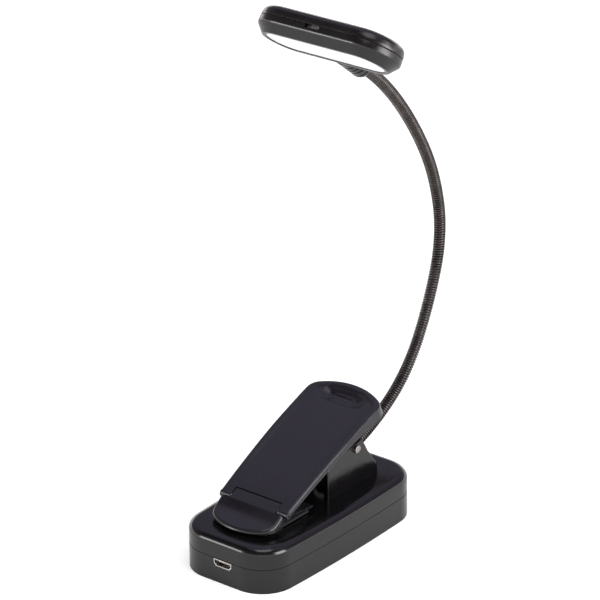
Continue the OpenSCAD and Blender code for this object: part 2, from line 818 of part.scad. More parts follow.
// One straight run: the core with turns of round wire standing out of it
module winding_run(k, j) {
    lap = 0.12;
    core = core_r - 0.03 * (j % 2);   // every other run slips into the ends of its neighbours
    pitch = run_l(k) / turns_per_run;
    low = j == 0 ? rim_gap : -lap;
    high = run_l(k) + (j < runs - 1 ? lap : k < link_count - 1 ? -rim_gap : 0);
    rotate([-90, 0, 0]) rotate_extrude() {
        translate([0, low]) square([core, high - low]);
        for (i = [0:turns_per_run - 1])
            translate([winding_r, min(max((i + 0.5) * pitch, low + neck_wire / 2), high - neck_wire / 2)])
                circle(d = neck_wire);
    }
}

// A link: its start is a socket for the ball that ends the link before it
module neck_link(k) {
    color("#5b5652") difference() {
        union() {
            at_link(k) for (j = [0:runs - 1]) at_run(k, j) winding_run(k, j);
            if (k < link_count - 1) at_ball(k + 1) sphere(ball_r);
            else at_link(link_count) rod(-0.2, ferrule_l + 0.6, core_r - 0.06);
        }
        at_ball(k) sphere(ball_r + run_fit);
    }
}

module neck_root() {
    color("#5b5652") at_link(0) {
        rod(-boss_end - ferrule_l - 0.6, -rim_gap, core_r);
        rotate([0, 90, 0]) sphere(ball_r);
    }
}

// A crimped steel tube over an end of the neck
module ferrule() {
    rotate([-90, 0, 0]) rotate_extrude() difference() {
        translate([core_r + hold_fit, 0]) square([ferrule_t, ferrule_l]);
        for (z = [3:3:9]) translate([ferrule_r, z]) circle(r = 0.35);
    }
}

module root_ferrule() {
    color("silver") at_link(0) translate([0, -boss_end - ferrule_l, 0]) ferrule();
}

module head_ferrule() {
    color("silver") at_link(link_count) translate([0, 0.6, 0]) ferrule();
}

// ---- Head ----

module at_head() {
    at_link(link_count) children();
}

// Turns a (distance from middle line, depth) profile into the head's long round-ended form
module head_form() {
    translate([0, head_mid, 0]) stadium(head_l, head_w)
        translate([0, face_z]) mirror([0, 1]) children();
}

// Section of the back's outer surface, pulled in by inset
function back_points(inset) = [for (i = [0:6]) let (a = 15 * i) [
    head_w / 2 - 0.3 - inset - (back_round - inset / 2) * (1 - cos(a)),
    back_start + (head_t - inset - back_start) * sin(a)
]];

module sleeve_solid() {
    difference() {
        rod(collar_l + seat_fit, sleeve_l + head_wall, sleeve_d / 2);
        for (y = [6.6:2.2:sleeve_l - 2]) rotate([-90, 0, 0]) translate([0, 0, y])
            rotate_extrude() translate([sleeve_d / 2 - 0.35, 0]) square([1, groove_w]);
    }
}

module sleeve_bore() {
    rod(-1, sleeve_l + head_wall + 1, ferrule_r + hold_fit);
}

module head_bezel() {
    inner_r = head_w / 2 - head_wall;
    flange_r = lens_r + flange_w + seat_fit;
    color("#2a2726") at_head() difference() {
        union() {
            head_form() polygon([
                [lens_r + seat_fit, 0], [head_w / 2 - bezel_chamfer, 0], [head_w / 2, ridge_h],
                [head_w / 2 - 0.1, part_depth], [inner_r, part_depth], [inner_r, led_board_depth],
                [flange_r, led_board_depth], [flange_r, flange_depth], [lens_r + seat_fit, flange_depth]
            ]);
            intersection() {
                sleeve_solid();
                translate([-sleeve_d, 0, face_z - part_depth])
                    cube([2 * sleeve_d, head_mid, part_depth]);
            }
        }
        sleeve_bore();
        // slot for the switch, open to the parting line
        translate([switch_x - slot_w / 2, head_mid, face_z - part_depth - eps])
            cube([slot_w, head_w, part_depth - knob_depth + slot_t / 2]);
    }
}

module head_back_cover() {
    color("#262423") at_head() difference() {
        union() {
            head_form() difference() {
                polygon(concat([[0, part_depth], [head_w / 2 - 0.1, part_depth]], back_points(0),
                    [[0, head_t]]));
                polygon(concat([[0, part_depth - 1], [head_w / 2 - head_wall, part_depth - 1]],
                    back_points(head_wall), [[0, head_t - head_wall]]));
            }
            intersection() {
                sleeve_solid();
                translate([-sleeve_d, 0, face_z - head_t])
                    cube([2 * sleeve_d, head_mid, head_t - part_depth - eps]);
            }
        }
        sleeve_bore();
    }
}

// The domed ring that closes the sleeve round the neck
module neck_collar() {
    color("#262423") at_head() rotate([-90, 0, 0]) rotate_extrude() difference() {
        union() {
            translate([0, collar_l - collar_band]) square([collar_l, collar_band]);
            intersection() {
                translate([0, sleeve_d / 2]) circle(collar_l);
                square([sleeve_d, sleeve_d / 2]);
            }
        }
        square([ferrule_r + hold_fit, 3 * collar_l], center = false);
    }
}

module diffuser() {
    color("white") at_head() head_form() {
        translate([0, lens_depth]) square([lens_r, flange_depth + flange_t - lens_depth]);
        translate([0, flange_depth]) square([lens_r + flange_w, flange_t]);
    }
}

module led_board() {
    half = head_w / 2 - head_wall - seat_fit;
    color("ivory") at_head() head_form() translate([0, led_board_depth]) square([half, led_board_t]);
}

module led_chips() {
    pitch = (head_l - 2 * led_margin) / led_count;
    color("khaki") at_head() for (i = [0:led_count - 1])
        translate([(i - (led_count - 1) / 2) * pitch, head_mid, face_z - led_board_depth])
            linear_extrude(led_t) square([led_w, led_l], center = true);
}

module head_leads() {
    back = face_z - led_board_depth - led_board_t - lead_d / 2;
    for (side = [-1, 1]) color(side < 0 ? "firebrick" : "#222222")
        at_head() sweep([
            [side * 0.6, ferrule_l + 0.7, -0.4], [side * 0.8, sleeve_l + head_wall + 1, back],
            [side * 2, head_mid - 2, back]
        ], lead_d / 2, 8);
}

module at_switch() {
    at_head() translate([switch_x, head_mid + head_w / 2 - head_wall, face_z - knob_depth]) children();
}

module switch_body() {
    top = knob_depth - led_board_depth - led_board_t;
    color("silver") at_switch() difference() {
        translate([-switch_l / 2, -switch_d - switch_seat, -1.4])
            cube([switch_l, switch_d, 1.4 + top]);
        translate([-slot_w / 2, -1.6 - switch_seat, -slot_t / 2]) cube([slot_w, 3, slot_t]);
    }
}

module switch_knob() {
    color("whitesmoke") at_switch() translate([(switch_travel - knob_w) / 2, -1.5, -knob_t / 2])
        cube([knob_w, 1.5 + head_wall + knob_proud, knob_t]);
}

base_lower_shell();
base_upper_shell();
base_screws();
battery_cell();
control_board();
board_components();
usb_socket_shell();
usb_socket_tongue();
base_leads();
clip_pin();
clip_spring();
clip_lever();
jaw_pin();
floating_jaw();
jaw_grip_pad();
root_ferrule();
neck_root();
for (k = [1:link_count]) neck_link(k - 1);
neck_collar();
head_ferrule();
head_bezel();
head_back_cover();
diffuser();
led_board();
led_chips();
head_leads();
switch_body();
switch_knob();
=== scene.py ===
"""A rechargeable clip-on reading lamp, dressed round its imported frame.

Sizes are in millimetres until a mesh is finished. The axes are the frame's own: X across the base,
Y from the charging socket towards the neck, Z up from the table.
"""
import json
import logging
import math
from dataclasses import dataclass
from enum import Enum
from typing import Callable, Sequence

import bmesh
import bpy
from bmesh.types import BMEdge, BMesh, BMVert
from bpy.types import ID, Material, Mesh, Node, NodeSocket, NodeTree, Object
from mathutils import Matrix, Vector


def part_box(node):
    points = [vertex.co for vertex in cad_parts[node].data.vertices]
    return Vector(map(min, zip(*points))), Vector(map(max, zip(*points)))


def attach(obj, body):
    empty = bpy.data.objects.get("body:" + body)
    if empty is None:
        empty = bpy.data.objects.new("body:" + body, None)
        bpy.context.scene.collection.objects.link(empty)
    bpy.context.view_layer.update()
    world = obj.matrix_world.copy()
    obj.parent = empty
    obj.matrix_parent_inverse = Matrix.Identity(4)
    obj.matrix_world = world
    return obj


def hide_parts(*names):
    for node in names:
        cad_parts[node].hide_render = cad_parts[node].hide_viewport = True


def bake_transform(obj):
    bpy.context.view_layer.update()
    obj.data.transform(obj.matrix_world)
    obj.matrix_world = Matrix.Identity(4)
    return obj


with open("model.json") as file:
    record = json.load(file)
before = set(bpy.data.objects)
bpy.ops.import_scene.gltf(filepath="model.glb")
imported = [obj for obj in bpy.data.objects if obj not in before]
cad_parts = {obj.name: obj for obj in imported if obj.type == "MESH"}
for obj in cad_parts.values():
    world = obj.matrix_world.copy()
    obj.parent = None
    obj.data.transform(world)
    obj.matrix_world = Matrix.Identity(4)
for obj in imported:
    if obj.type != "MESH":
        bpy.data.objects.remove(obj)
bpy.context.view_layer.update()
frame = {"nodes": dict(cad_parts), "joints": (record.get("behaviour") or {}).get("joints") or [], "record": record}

MM = 0.001
WELD = 1e-5              # points closer than this, in millimetres, become one
CRISP = 25.0             # an edge that turns by more degrees than this gets a bevel
LEVER_TILT = 23.0        # degrees, with the clip shut
LOG = logging.getLogger("reading_lamp")
Point = tuple[float, float]
Triple = tuple[float, float, float]
Colour = Triple
Shade = tuple[float, float, float, float]


class Slot(Enum):
    """The record's material slots, and one more for the charging socket's tongue."""

    BASE = "base_plastic"
    LEVER = "lever_plastic"
    JAW = "jaw_plastic"
    PAD = "pad_rubber"
    NECK = "neck_steel"
    HEAD = "head_plastic"
    DIFFUSER = "diffuser_plastic"
    KNOB = "knob_plastic"
    PIN = "pin_steel"
    SCREW = "screw_steel"
    SPRING = "spring_steel"
    SOCKET = "socket_steel"
    CELL = "cell_foil"
    BOARD = "circuit_board"
    COMPONENT = "component_plastic"
    TONGUE = "socket_tongue"
    LEAD = "lead_sleeve"
    LED_BOARD = "led_board_white"
    PHOSPHOR = "led_phosphor"


MATERIALS: dict[Slot, Material] = {}     # what main has built for each slot


# ---------------- mesh helpers


def turned(degrees: float, axis: str) -> Matrix:
    """A turn about an axis."""
    return Matrix.Rotation(math.radians(degrees), 4, axis)


def along_way(start: Vector, way: Vector) -> Matrix:
    """Turns the Z axis to point along a direction from a start point."""
    return Matrix.Translation(start) @ way.to_track_quat("Z", "Y").to_matrix().to_4x4()


def smooth(low: float, high: float, value: float) -> float:
    """A soft step from 0 at low to 1 at high."""
    t = min(max((value - low) / (high - low), 0.0), 1.0)
    return t * t * (3 - 2 * t)


def arc(centre: Point, radius: float, first: float, last: float, count: int) -> list[Point]:
    """Points along a circle's arc, both ends included, angles in degrees."""
    angles = [math.radians(first + (last - first) * i / count) for i in range(count + 1)]
    return [(centre[0] + radius * math.cos(a), centre[1] + radius * math.sin(a)) for a in angles]


def open_rims(bm: BMesh) -> list[BMEdge]:
    """The edges that have a face on one side only."""
    return [e for e in bm.edges if e.is_boundary]


def cap(bm: BMesh) -> None:
    """Closes every hole."""
    bmesh.ops.holes_fill(bm, edges=open_rims(bm), sides=0)


def grid(bm: BMesh, columns: int, rows: int, place: Callable[[int, int], Vector]) -> list[BMVert]:
    """Adds a grid of faces and puts each corner where it belongs.

    Args:
        bm: the mesh being built.
        columns: number of faces one way.
        rows: number of faces the other way.
        place: gives the position of the corner at (column, row).

    Returns:
        The new vertices.
    """
    made = bmesh.ops.create_grid(bm, x_segments=columns, y_segments=rows, size=1.0)["verts"]
    for vert in made:
        i = round((vert.co.x + 1) / 2 * columns)
        j = round((vert.co.y + 1) / 2 * rows)
        vert.co = place(i, j)
    return made


def skin(bm: BMesh, rings: Sequence[Sequence[Vector]], closed: bool = False) -> None:
    """Stretches a surface over rings that all have the same count of points.

    Args:
        bm: the mesh being built.
        rings: the rings in order, each a closed loop.
        closed: whether the last ring joins the first; if not, a flat face caps each end.
    """
    around, along = len(rings[0]), len(rings) - (0 if closed else 1)
    made = grid(bm, around, along, lambda i, j: rings[j % len(rings)][i % around])
    bmesh.ops.remove_doubles(bm, verts=made, dist=WELD)
    if not closed:
        cap(bm)


def slab(bm: BMesh, outline: Sequence[Point], low: float, high: float, soft: float,
         segments: int = 2) -> None:
    """Adds a flat outline in (y, z), thick across X, with softened edges.

    Args:
        bm: the mesh being built.
        outline: the outline's corners as (y, z).
        low: the lower X.
        high: the higher X.
        soft: the width of the bevel on every crisp edge.
        segments: facets in the bevel.
    """
    before = set(bm.verts)
    face = bm.faces.new([bm.verts.new((low, y, z)) for y, z in outline])
    out = bmesh.ops.extrude_face_region(bm, geom=[face])["geom"]
    bmesh.ops.translate(bm, verts=[g for g in out if isinstance(g, BMVert)],
                        vec=(high - low, 0, 0))
    crisp = [e for e in bm.edges if e.verts[0] not in before and len(e.link_faces) == 2
             and e.calc_face_angle(0) > math.radians(CRISP)]
    bmesh.ops.bevel(bm, geom=crisp, offset=soft, segments=segments, profile=0.5,
                    affect="EDGES", material=-1, clamp_overlap=True)


def lathe(bm: BMesh, profile: Sequence[Point], steps: int, turn: Matrix) -> None:
    """Spins a profile of (distance along the axis, radius) into a full turn.

    Args:
        bm: the mesh being built.
        profile: a closed loop if its first point is its last, or a line from axis to axis.
        steps: facets in the full turn.
        turn: moves the form from the Z axis to its place.
    """
    before = set(bm.verts)
    line = [bm.verts.new((radius, 0, along)) for along, radius in profile]
    edges = [bm.edges.new(pair) for pair in zip(line, line[1:])]
    bmesh.ops.spin(bm, geom=line + edges, angle=2 * math.pi, steps=steps, axis=(0, 0, 1),
                   cent=(0, 0, 0), use_merge=True, use_duplicate=False)
    bmesh.ops.remove_doubles(bm, verts=[v for v in bm.verts if v not in before], dist=WELD)
    bmesh.ops.transform(bm, matrix=turn, verts=[v for v in bm.verts if v not in before])


def rod(bm: BMesh, start: Vector, end: Vector, radius: float, sides: int = 12,
        soft: float = 0.15) -> None:
    """Adds a round rod with softened ends.

    Args:
        bm: the mesh being built.
        start: the middle of one end.
        end: the middle of the other end.
        radius: the rod's radius.
        sides: facets round the rod.
        soft: how far in each end is rounded.
    """
    length = (end - start).length
    rim = [(0, radius - soft), (soft * 0.3, radius - soft * 0.3), (soft, radius)]
    profile = [(0, 0)] + rim + [(length - at, r) for at, r in rim[::-1]] + [(length, 0)]
    lathe(bm, profile, sides, along_way(start, end - start))


def coil(bm: BMesh, start: Matrix, wire: float, sides: int, angle: float, steps: int,
         way: Vector) -> None:
    """Winds a wire about an axis through the origin, and closes its ends.

    Args:
        bm: the mesh being built.
        start: places the wire's first section, a circle about its own Z axis.
        wire: the wire's diameter.
        sides: facets round the wire.
        angle: how far it winds, in radians.
        steps: facets along the wire.
        way: how far the coil gets along its axis, as a vector.
    """
    made = bmesh.ops.create_circle(bm, cap_ends=False, segments=sides, radius=wire / 2,
                                   matrix=start)["verts"]
    edges = list({e for v in made for e in v.link_edges})
    bmesh.ops.spin(bm, geom=made + edges, angle=angle, steps=steps, axis=way.normalized(),
                   cent=(0, 0, 0), dvec=way / steps, use_merge=False, use_duplicate=False)
    cap(bm)


def split_flat(bm: BMesh, place: Vector, normal: Vector, **clear: bool) -> None:
    """Cuts the mesh with a plane, and clears what clear_inner or clear_outer says."""
    geom = bm.verts[:] + bm.edges[:] + bm.faces[:]
    bmesh.ops.bisect_plane(bm, geom=geom, plane_co=place, plane_no=normal, **clear)


def as_mesh(bm: BMesh, name: str) -> Mesh:
    """Turns a built mesh into mesh data.

    Args:
        bm: the mesh; it is freed.
        name: the data's name.

    Returns:
        The mesh data.
    """
    mesh = bpy.data.meshes.new(name)
    bm.to_mesh(mesh)
    bm.free()
    return mesh


def put(name: str, data: ID) -> Object:
    """Puts a mesh, a lamp or a camera into the scene.

    Args:
        name: the object's name.
        data: what it shows.

    Returns:
        The object.
    """
    holder = bpy.data.objects.new(name, data)
    bpy.context.scene.collection.objects.link(holder)
    return holder


def make_piece(bm: BMesh, name: str, body: str, slot: Slot, replaces: Sequence[str] = (),
               place: Matrix | None = None, sharp: float = 32.0,
               between: tuple[str, Vector, Vector] | None = None) -> None:
    """Turns a finished mesh into a dressed piece that moves with its body.

    Args:
        bm: the mesh in millimetres; it is freed.
        name: the piece's name.
        body: the frame body that it moves with, when between is not given.
        slot: the material slot that it takes its finish from.
        replaces: frame nodes that it stands for.
        place: moves the mesh from its own axes to the frame's.
        sharp: edges that turn by more degrees than this stay crisp.
        between: a second body and two points; when given, the piece is only baked in place and is not attached to
            any body, and the second body and points are not used.
    """
    bmesh.ops.remove_doubles(bm, verts=bm.verts, dist=10 * WELD)
    bmesh.ops.dissolve_degenerate(bm, edges=bm.edges, dist=WELD)
    bmesh.ops.recalc_face_normals(bm, faces=bm.faces)
    if place is not None:
        bmesh.ops.transform(bm, matrix=place, verts=bm.verts)
    bmesh.ops.scale(bm, vec=(MM, MM, MM), verts=bm.verts)
    mesh = as_mesh(bm, name)
    mesh.polygons.foreach_set("use_smooth", [True] * len(mesh.polygons))
    mesh.set_sharp_from_angle(angle=math.radians(sharp))
    mesh.materials.append(MATERIALS[slot])
    piece = put(name, mesh)
    if between is None:
        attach(piece, body)
    else:
        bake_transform(piece)
    if replaces:
        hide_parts(*replaces)
    weighted = piece.modifiers.new("Weighted Normal", "WEIGHTED_NORMAL")
    weighted.keep_sharp = True
    LOG.info("%s: %d faces", name, len(mesh.polygons))


# ---------------- finishes


class Effect(Enum):
    """The node groups that the finishes share."""

    GRAIN = "moulded_grain"
    EDGES = "rubbed_edges_and_sheen"
    DUST = "dust_specks"


def shade(colour: Colour, share: float = 1.0) -> Shade:
    """A colour, darkened to a share of itself, as a socket takes it."""
    return (*(c * share for c in colour), 1)


@dataclass(frozen=True)
class Wiring:
    """Adds nodes to a shader tree and joins them."""

    tree: NodeTree

    def feed(self, node: Node, inputs: dict[str | int, object]) -> None:
        """Gives a node its inputs.

        Args:
            node: the node.
            inputs: a value or a socket for each named or numbered input.
        """
        for key, value in inputs.items():
            if isinstance(value, NodeSocket):
                self.tree.links.new(value, node.inputs[key])
            else:
                node.inputs[key].default_value = value

    def add(self, kind: str, inputs: dict[str | int, object] | None = None,
            **settings: object) -> Node:
        """Adds one node.

        Args:
            kind: the node's type name after "ShaderNode".
            inputs: a value or a socket for each named or numbered input.
            settings: properties of the node.

        Returns:
            The node.
        """
        node = self.tree.nodes.new("ShaderNode" + kind)
        for key, value in settings.items():
            setattr(node, key, value)
        self.feed(node, inputs or {})
        return node

    def place(self, effect: Effect, **inputs: float) -> Node:
        """Places an effect's node group with its own values."""
        return self.add("Group", inputs, node_tree=bpy.data.node_groups[effect.value])

    def here(self) -> NodeSocket:
        """The object's own coordinates."""
        return self.add("TexCoord").outputs["Object"]

    def math(self, operation: str, a: object, b: object = 0.0) -> NodeSocket:
        """The result of a sum on two values or sockets."""
        return self.add("Math", {0: a, 1: b}, operation=operation).outputs[0]

    def ramp(self, value: NodeSocket, low: float, high: float, first: float = 0.0,
             last: float = 1.0) -> NodeSocket:
        """A soft step of a value between two levels, clamped outside them.

        Args:
            value: the value.
            low: where the step starts.
            high: where it ends.
            first: the result before the step.
            last: the result after it.

        Returns:
            The result.
        """
        inputs = {"Value": value, "From Min": low, "From Max": high, "To Min": first,
                  "To Max": last}
        return self.add("MapRange", inputs, interpolation_type="SMOOTHSTEP").outputs[0]

    def blend(self, share: object, a: object, b: object) -> NodeSocket:
        """A colour between two colours."""
        mix = self.add("Mix", {0: share, 6: a, 7: b}, data_type="RGBA", clamp_factor=True)
        return mix.outputs[2]

    def noise(self, where: NodeSocket, scale: object, detail: float = 2.0,
              roughness: float = 0.5) -> NodeSocket:
        """Noise over coordinates."""
        inputs = {"Vector": where, "Scale": scale, "Detail": detail, "Roughness": roughness}
        return self.add("TexNoise", inputs).outputs[0]

    def bump(self, height: NodeSocket, strength: float, distance: float) -> NodeSocket:
        """A normal bent by a height."""
        inputs = {"Height": height, "Strength": strength, "Distance": distance}
        return self.add("Bump", inputs).outputs[0]


def open_group(effect: Effect, inputs: dict[str, float], *outputs: str) -> tuple[
        Wiring, Node, Node]:
    """Starts an effect's node group.

    Args:
        effect: the effect.
        inputs: its value inputs and their defaults.
        outputs: its value outputs.

    Returns:
        The wiring, the node that gives the inputs and the node that takes the outputs.
    """
    tree = bpy.data.node_groups.new(effect.value, "ShaderNodeTree")
    for key, default in inputs.items():
        socket = tree.interface.new_socket(key, in_out="INPUT", socket_type="NodeSocketFloat")
        socket.default_value = default
    for key in outputs:
        tree.interface.new_socket(key, in_out="OUTPUT", socket_type="NodeSocketFloat")
    return Wiring(tree), tree.nodes.new("NodeGroupInput"), tree.nodes.new("NodeGroupOutput")


# Where the effects' noises and slopes start to show, and where they show in full.
MOTTLE = (0.3, 0.7)
BENT = (0.004, 0.14)
PATCHES = (0.3, 0.62)
UPWARD = (0.2, 0.9)
SPECKS = (0.56, 0.74)


def build_grain() -> None:
    """Moulded grain: a fine height and a broad mottle."""
    wires, given, taken = open_group(Effect.GRAIN, {"Scale": 4000.0, "Broad": 90.0}, "Height",
                                     "Mottle")
    where = wires.here()
    fine = wires.noise(where, given.outputs["Scale"], 2.0, 0.6)
    broad = wires.noise(where, given.outputs["Broad"], 4.0, 0.62)
    wires.feed(taken, {"Height": fine, "Mottle": wires.ramp(broad, *MOTTLE)})


def build_edges() -> None:
    """Rubbed edges, partly a painted edge sheen: where a rounded copy of the normal leaves the true one."""
    wires, given, taken = open_group(Effect.EDGES, {"Radius": 0.0004, "Break": 700.0}, "Mask")
    rounded = wires.add("Bevel", {"Radius": given.outputs["Radius"]}, samples=6)
    true = wires.add("NewGeometry").outputs["Normal"]
    dot = wires.add("VectorMath", {0: rounded.outputs[0], 1: true}, operation="DOT_PRODUCT")
    bent = wires.math("SUBTRACT", 1.0, dot.outputs["Value"])
    patch = wires.noise(wires.here(), given.outputs["Break"], 3.0)
    mask = wires.math("MULTIPLY", wires.ramp(bent, *BENT), wires.ramp(patch, *PATCHES))
    wires.feed(taken, {"Mask": mask})


def build_dust() -> None:
    """Specks of dust that lie on faces which look up."""
    wires, given, taken = open_group(Effect.DUST, {"Scale": 1300.0, "Amount": 0.2}, "Mask")
    normal = wires.add("SeparateXYZ", {0: wires.add("NewGeometry").outputs["Normal"]})
    specks = wires.noise(wires.here(), given.outputs["Scale"], 5.0, 0.75)
    lying = wires.math("MULTIPLY", wires.ramp(normal.outputs["Z"], *UPWARD),
                       wires.ramp(specks, *SPECKS))
    wires.feed(taken, {"Mask": wires.math("MULTIPLY", lying, given.outputs["Amount"])})


@dataclass(frozen=True)
class Finish:
    """What every finish has: a slot, a colour, and a material built from its shader's inputs."""

    slot: Slot
    colour: Colour

    def inputs(self, wires: Wiring) -> dict[str, object]:
        """The shader's inputs; each kind of finish gives its own."""
        raise NotImplementedError

    def build(self) -> Material:
        """Builds the material.

        Returns:
            The material, named for its slot.
        """
        material = bpy.data.materials.new(self.slot.value)
        material.use_nodes = True
        wires = Wiring(material.node_tree)
        wires.feed(wires.tree.nodes["Principled BSDF"], self.inputs(wires))
        return material


@dataclass(frozen=True)
class Moulded(Finish):
    """A moulded plastic or rubber: fine grain, mottled sheen, paler edges that are partly rubbed wear and partly a
    painted edge sheen, and specks of dust.
    """

    # the edges' paler colour: partly rubbed wear, partly a painted sheen where edges catch the light
    rubbed_and_sheen: Colour
    roughness: float
    spread: float = 0.07
    grain: float = 5200.0
    depth: float = 0.05
    height: float = 0.0002
    edge: float = 0.00035
    wear_and_sheen: float = 0.4
    dust: float = 0.05
    dust_colour: Colour = (0.42, 0.41, 0.40)
    dust_matt: float = 0.5
    deep: float = 0.82

    def inputs(self, wires: Wiring) -> dict[str, object]:
        """The shader's inputs.

        Args:
            wires: adds the nodes.

        Returns:
            A socket for each input.
        """
        grain = wires.place(Effect.GRAIN, Scale=self.grain)
        mottle = grain.outputs["Mottle"]
        edges = wires.place(Effect.EDGES, Radius=self.edge).outputs["Mask"]
        dust = wires.place(Effect.DUST, Amount=self.dust).outputs["Mask"]
        colour = wires.blend(mottle, shade(self.colour, self.deep), shade(self.colour))
        # edges turn towards the paler colour: partly rubbed wear, partly a painted edge sheen
        colour = wires.blend(wires.math("MULTIPLY", edges, self.wear_and_sheen), colour, shade(self.rubbed_and_sheen))
        rough = wires.ramp(mottle, 0, 1, self.roughness - self.spread / 2,
                           self.roughness + self.spread / 2)
        return {"Base Color": wires.blend(dust, colour, shade(self.dust_colour)),
                "Roughness": wires.math("ADD", rough, wires.math("MULTIPLY", dust, self.dust_matt)),
                "Normal": wires.bump(grain.outputs["Height"], self.depth, self.height)}


@dataclass(frozen=True)
class Steel(Finish):
    """A bare or plated steel: drawn or turned streaks, tarnish and bright edges."""

    tarnish: Colour
    roughness: float
    rough_range: Point = (0.75, 1.3)
    streaks: Triple = (60.0, 3000.0, 3000.0)
    depth: float = 0.08
    height: float = 0.0001
    grain: float = 6000.0
    broad: float = 260.0
    edge: float = 0.0001
    bright: float = 0.25
    gain: float = 1.5
    lift: float = 0.05
    coat: float = 0.0
    coat_roughness: float = 0.08

    def inputs(self, wires: Wiring) -> dict[str, object]:
        """The shader's inputs.

        Args:
            wires: adds the nodes.

        Returns:
            A value or a socket for each input.
        """
        stretched = wires.add("Mapping", {"Vector": wires.here(), "Scale": self.streaks})
        drawn = wires.noise(stretched.outputs[0], 1.0, 3.0, 0.6)
        grain = wires.place(Effect.GRAIN, Scale=self.grain, Broad=self.broad)
        edges = wires.place(Effect.EDGES, Radius=self.edge).outputs["Mask"]
        colour = wires.blend(grain.outputs["Mottle"], shade(self.tarnish), shade(self.colour))
        light = (*(min(1.0, c * self.gain + self.lift) for c in self.colour), 1)
        rough = [self.roughness * share for share in self.rough_range]
        shine = wires.math("MULTIPLY", edges, self.bright)
        return {"Base Color": wires.blend(shine, colour, light),
                "Roughness": wires.ramp(drawn, *MOTTLE, *rough),
                "Normal": wires.bump(drawn, self.depth, self.height), "Metallic": 1.0,
                "Coat Weight": self.coat, "Coat Roughness": self.coat_roughness}


@dataclass(frozen=True)
class Frosted(Finish):
    """A frosted white light panel that glows softly, a little brighter over each chip."""

    glow: Colour
    strength: float
    pitch: float
    roughness: float = 0.45
    grain: float = 7000.0
    broad: float = 140.0
    depth: float = 0.05
    height: float = 0.0001
    dim: float = 0.93
    deep: float = 0.97

    def inputs(self, wires: Wiring) -> dict[str, object]:
        """The shader's inputs.

        Args:
            wires: adds the nodes.

        Returns:
            A value or a socket for each input.
        """
        grain = wires.place(Effect.GRAIN, Scale=self.grain, Broad=self.broad)
        where = wires.add("SeparateXYZ", {0: wires.here()})
        turn = wires.math("MULTIPLY", where.outputs["X"], 2 * math.pi / self.pitch)
        spots = wires.ramp(wires.math("COSINE", wires.math("ADD", turn, math.pi)), -1, 1)
        return {"Base Color": wires.blend(grain.outputs["Mottle"], shade(self.colour, self.deep),
                                          shade(self.colour)),
                "Emission Color": wires.blend(spots, shade(self.glow, self.dim), shade(self.glow)),
                "Emission Strength": self.strength, "Roughness": self.roughness,
                "Normal": wires.bump(grain.outputs["Height"], self.depth, self.height)}


FINISHES: tuple[Finish, ...] = (
    Moulded(Slot.BASE, (0.0034, 0.0030, 0.0033), (0.035, 0.034, 0.036), 0.17, wear_and_sheen=0.25,
            dust=0.02),
    Moulded(Slot.LEVER, (0.0095, 0.0082, 0.0118), (0.040, 0.038, 0.044), 0.30, spread=0.10,
            wear_and_sheen=0.3, dust=0.02),
    Moulded(Slot.JAW, (0.0070, 0.0060, 0.0080), (0.040, 0.038, 0.044), 0.29, wear_and_sheen=0.3,
            dust=0.02),
    Moulded(Slot.PAD, (0.0080, 0.0080, 0.0084), (0.03, 0.03, 0.03), 0.72, grain=2600.0,
            depth=0.25, wear_and_sheen=0.3),
    Moulded(Slot.HEAD, (0.0080, 0.0070, 0.0066), (0.035, 0.033, 0.032), 0.26, wear_and_sheen=0.25,
            dust=0.02),
    Moulded(Slot.KNOB, (0.060, 0.056, 0.053), (0.14, 0.13, 0.125), 0.25),
    Moulded(Slot.CELL, (0.52, 0.55, 0.60), (0.66, 0.68, 0.72), 0.36, grain=1500.0, depth=0.3),
    Moulded(Slot.BOARD, (0.020, 0.120, 0.045), (0.20, 0.26, 0.14), 0.38, grain=2200.0,
            depth=0.2),
    Moulded(Slot.COMPONENT, (0.030, 0.030, 0.032), (0.09, 0.09, 0.09), 0.5),
    Moulded(Slot.TONGUE, (0.55, 0.50, 0.46), (0.66, 0.62, 0.58), 0.45, dust=0.0),
    Moulded(Slot.LEAD, (0.012, 0.012, 0.013), (0.04, 0.04, 0.04), 0.45),
    Moulded(Slot.LED_BOARD, (0.82, 0.81, 0.78), (0.86, 0.85, 0.82), 0.4, dust=0.0),
    Moulded(Slot.PHOSPHOR, (0.82, 0.70, 0.26), (0.86, 0.76, 0.36), 0.4, dust=0.0),
    Steel(Slot.NECK, (0.085, 0.074, 0.070), (0.045, 0.039, 0.037), 0.24, bright=0.3, coat=0.3),
    Steel(Slot.PIN, (0.40, 0.365, 0.355), (0.30, 0.275, 0.265), 0.25),
    Steel(Slot.SCREW, (0.28, 0.28, 0.28), (0.12, 0.12, 0.12), 0.35),
    Steel(Slot.SPRING, (0.36, 0.36, 0.37), (0.20, 0.19, 0.18), 0.28),
    Steel(Slot.SOCKET, (0.72, 0.72, 0.72), (0.55, 0.54, 0.52), 0.25),
    Frosted(Slot.DIFFUSER, (0.78, 0.78, 0.82), (0.86, 0.88, 1.0), 0.22, 0.005375),
)
ODD_FINISHES = {"usb_socket_tongue": Slot.TONGUE, "switch_body": Slot.SOCKET}


def dress_nodes() -> None:
    """Gives the frame's own nodes the finish of their slot in the record, but for two odd ones."""
    for part in frame["record"]["subparts"]:
        name = part["node"]
        slot = ODD_FINISHES.get(name, Slot(part["material_slot"]))
        for holder in frame["nodes"][name].material_slots:
            holder.material = MATERIALS[slot]
        LOG.info("%s: frame node in %s", name, slot.value)


# ---------------- base and neck


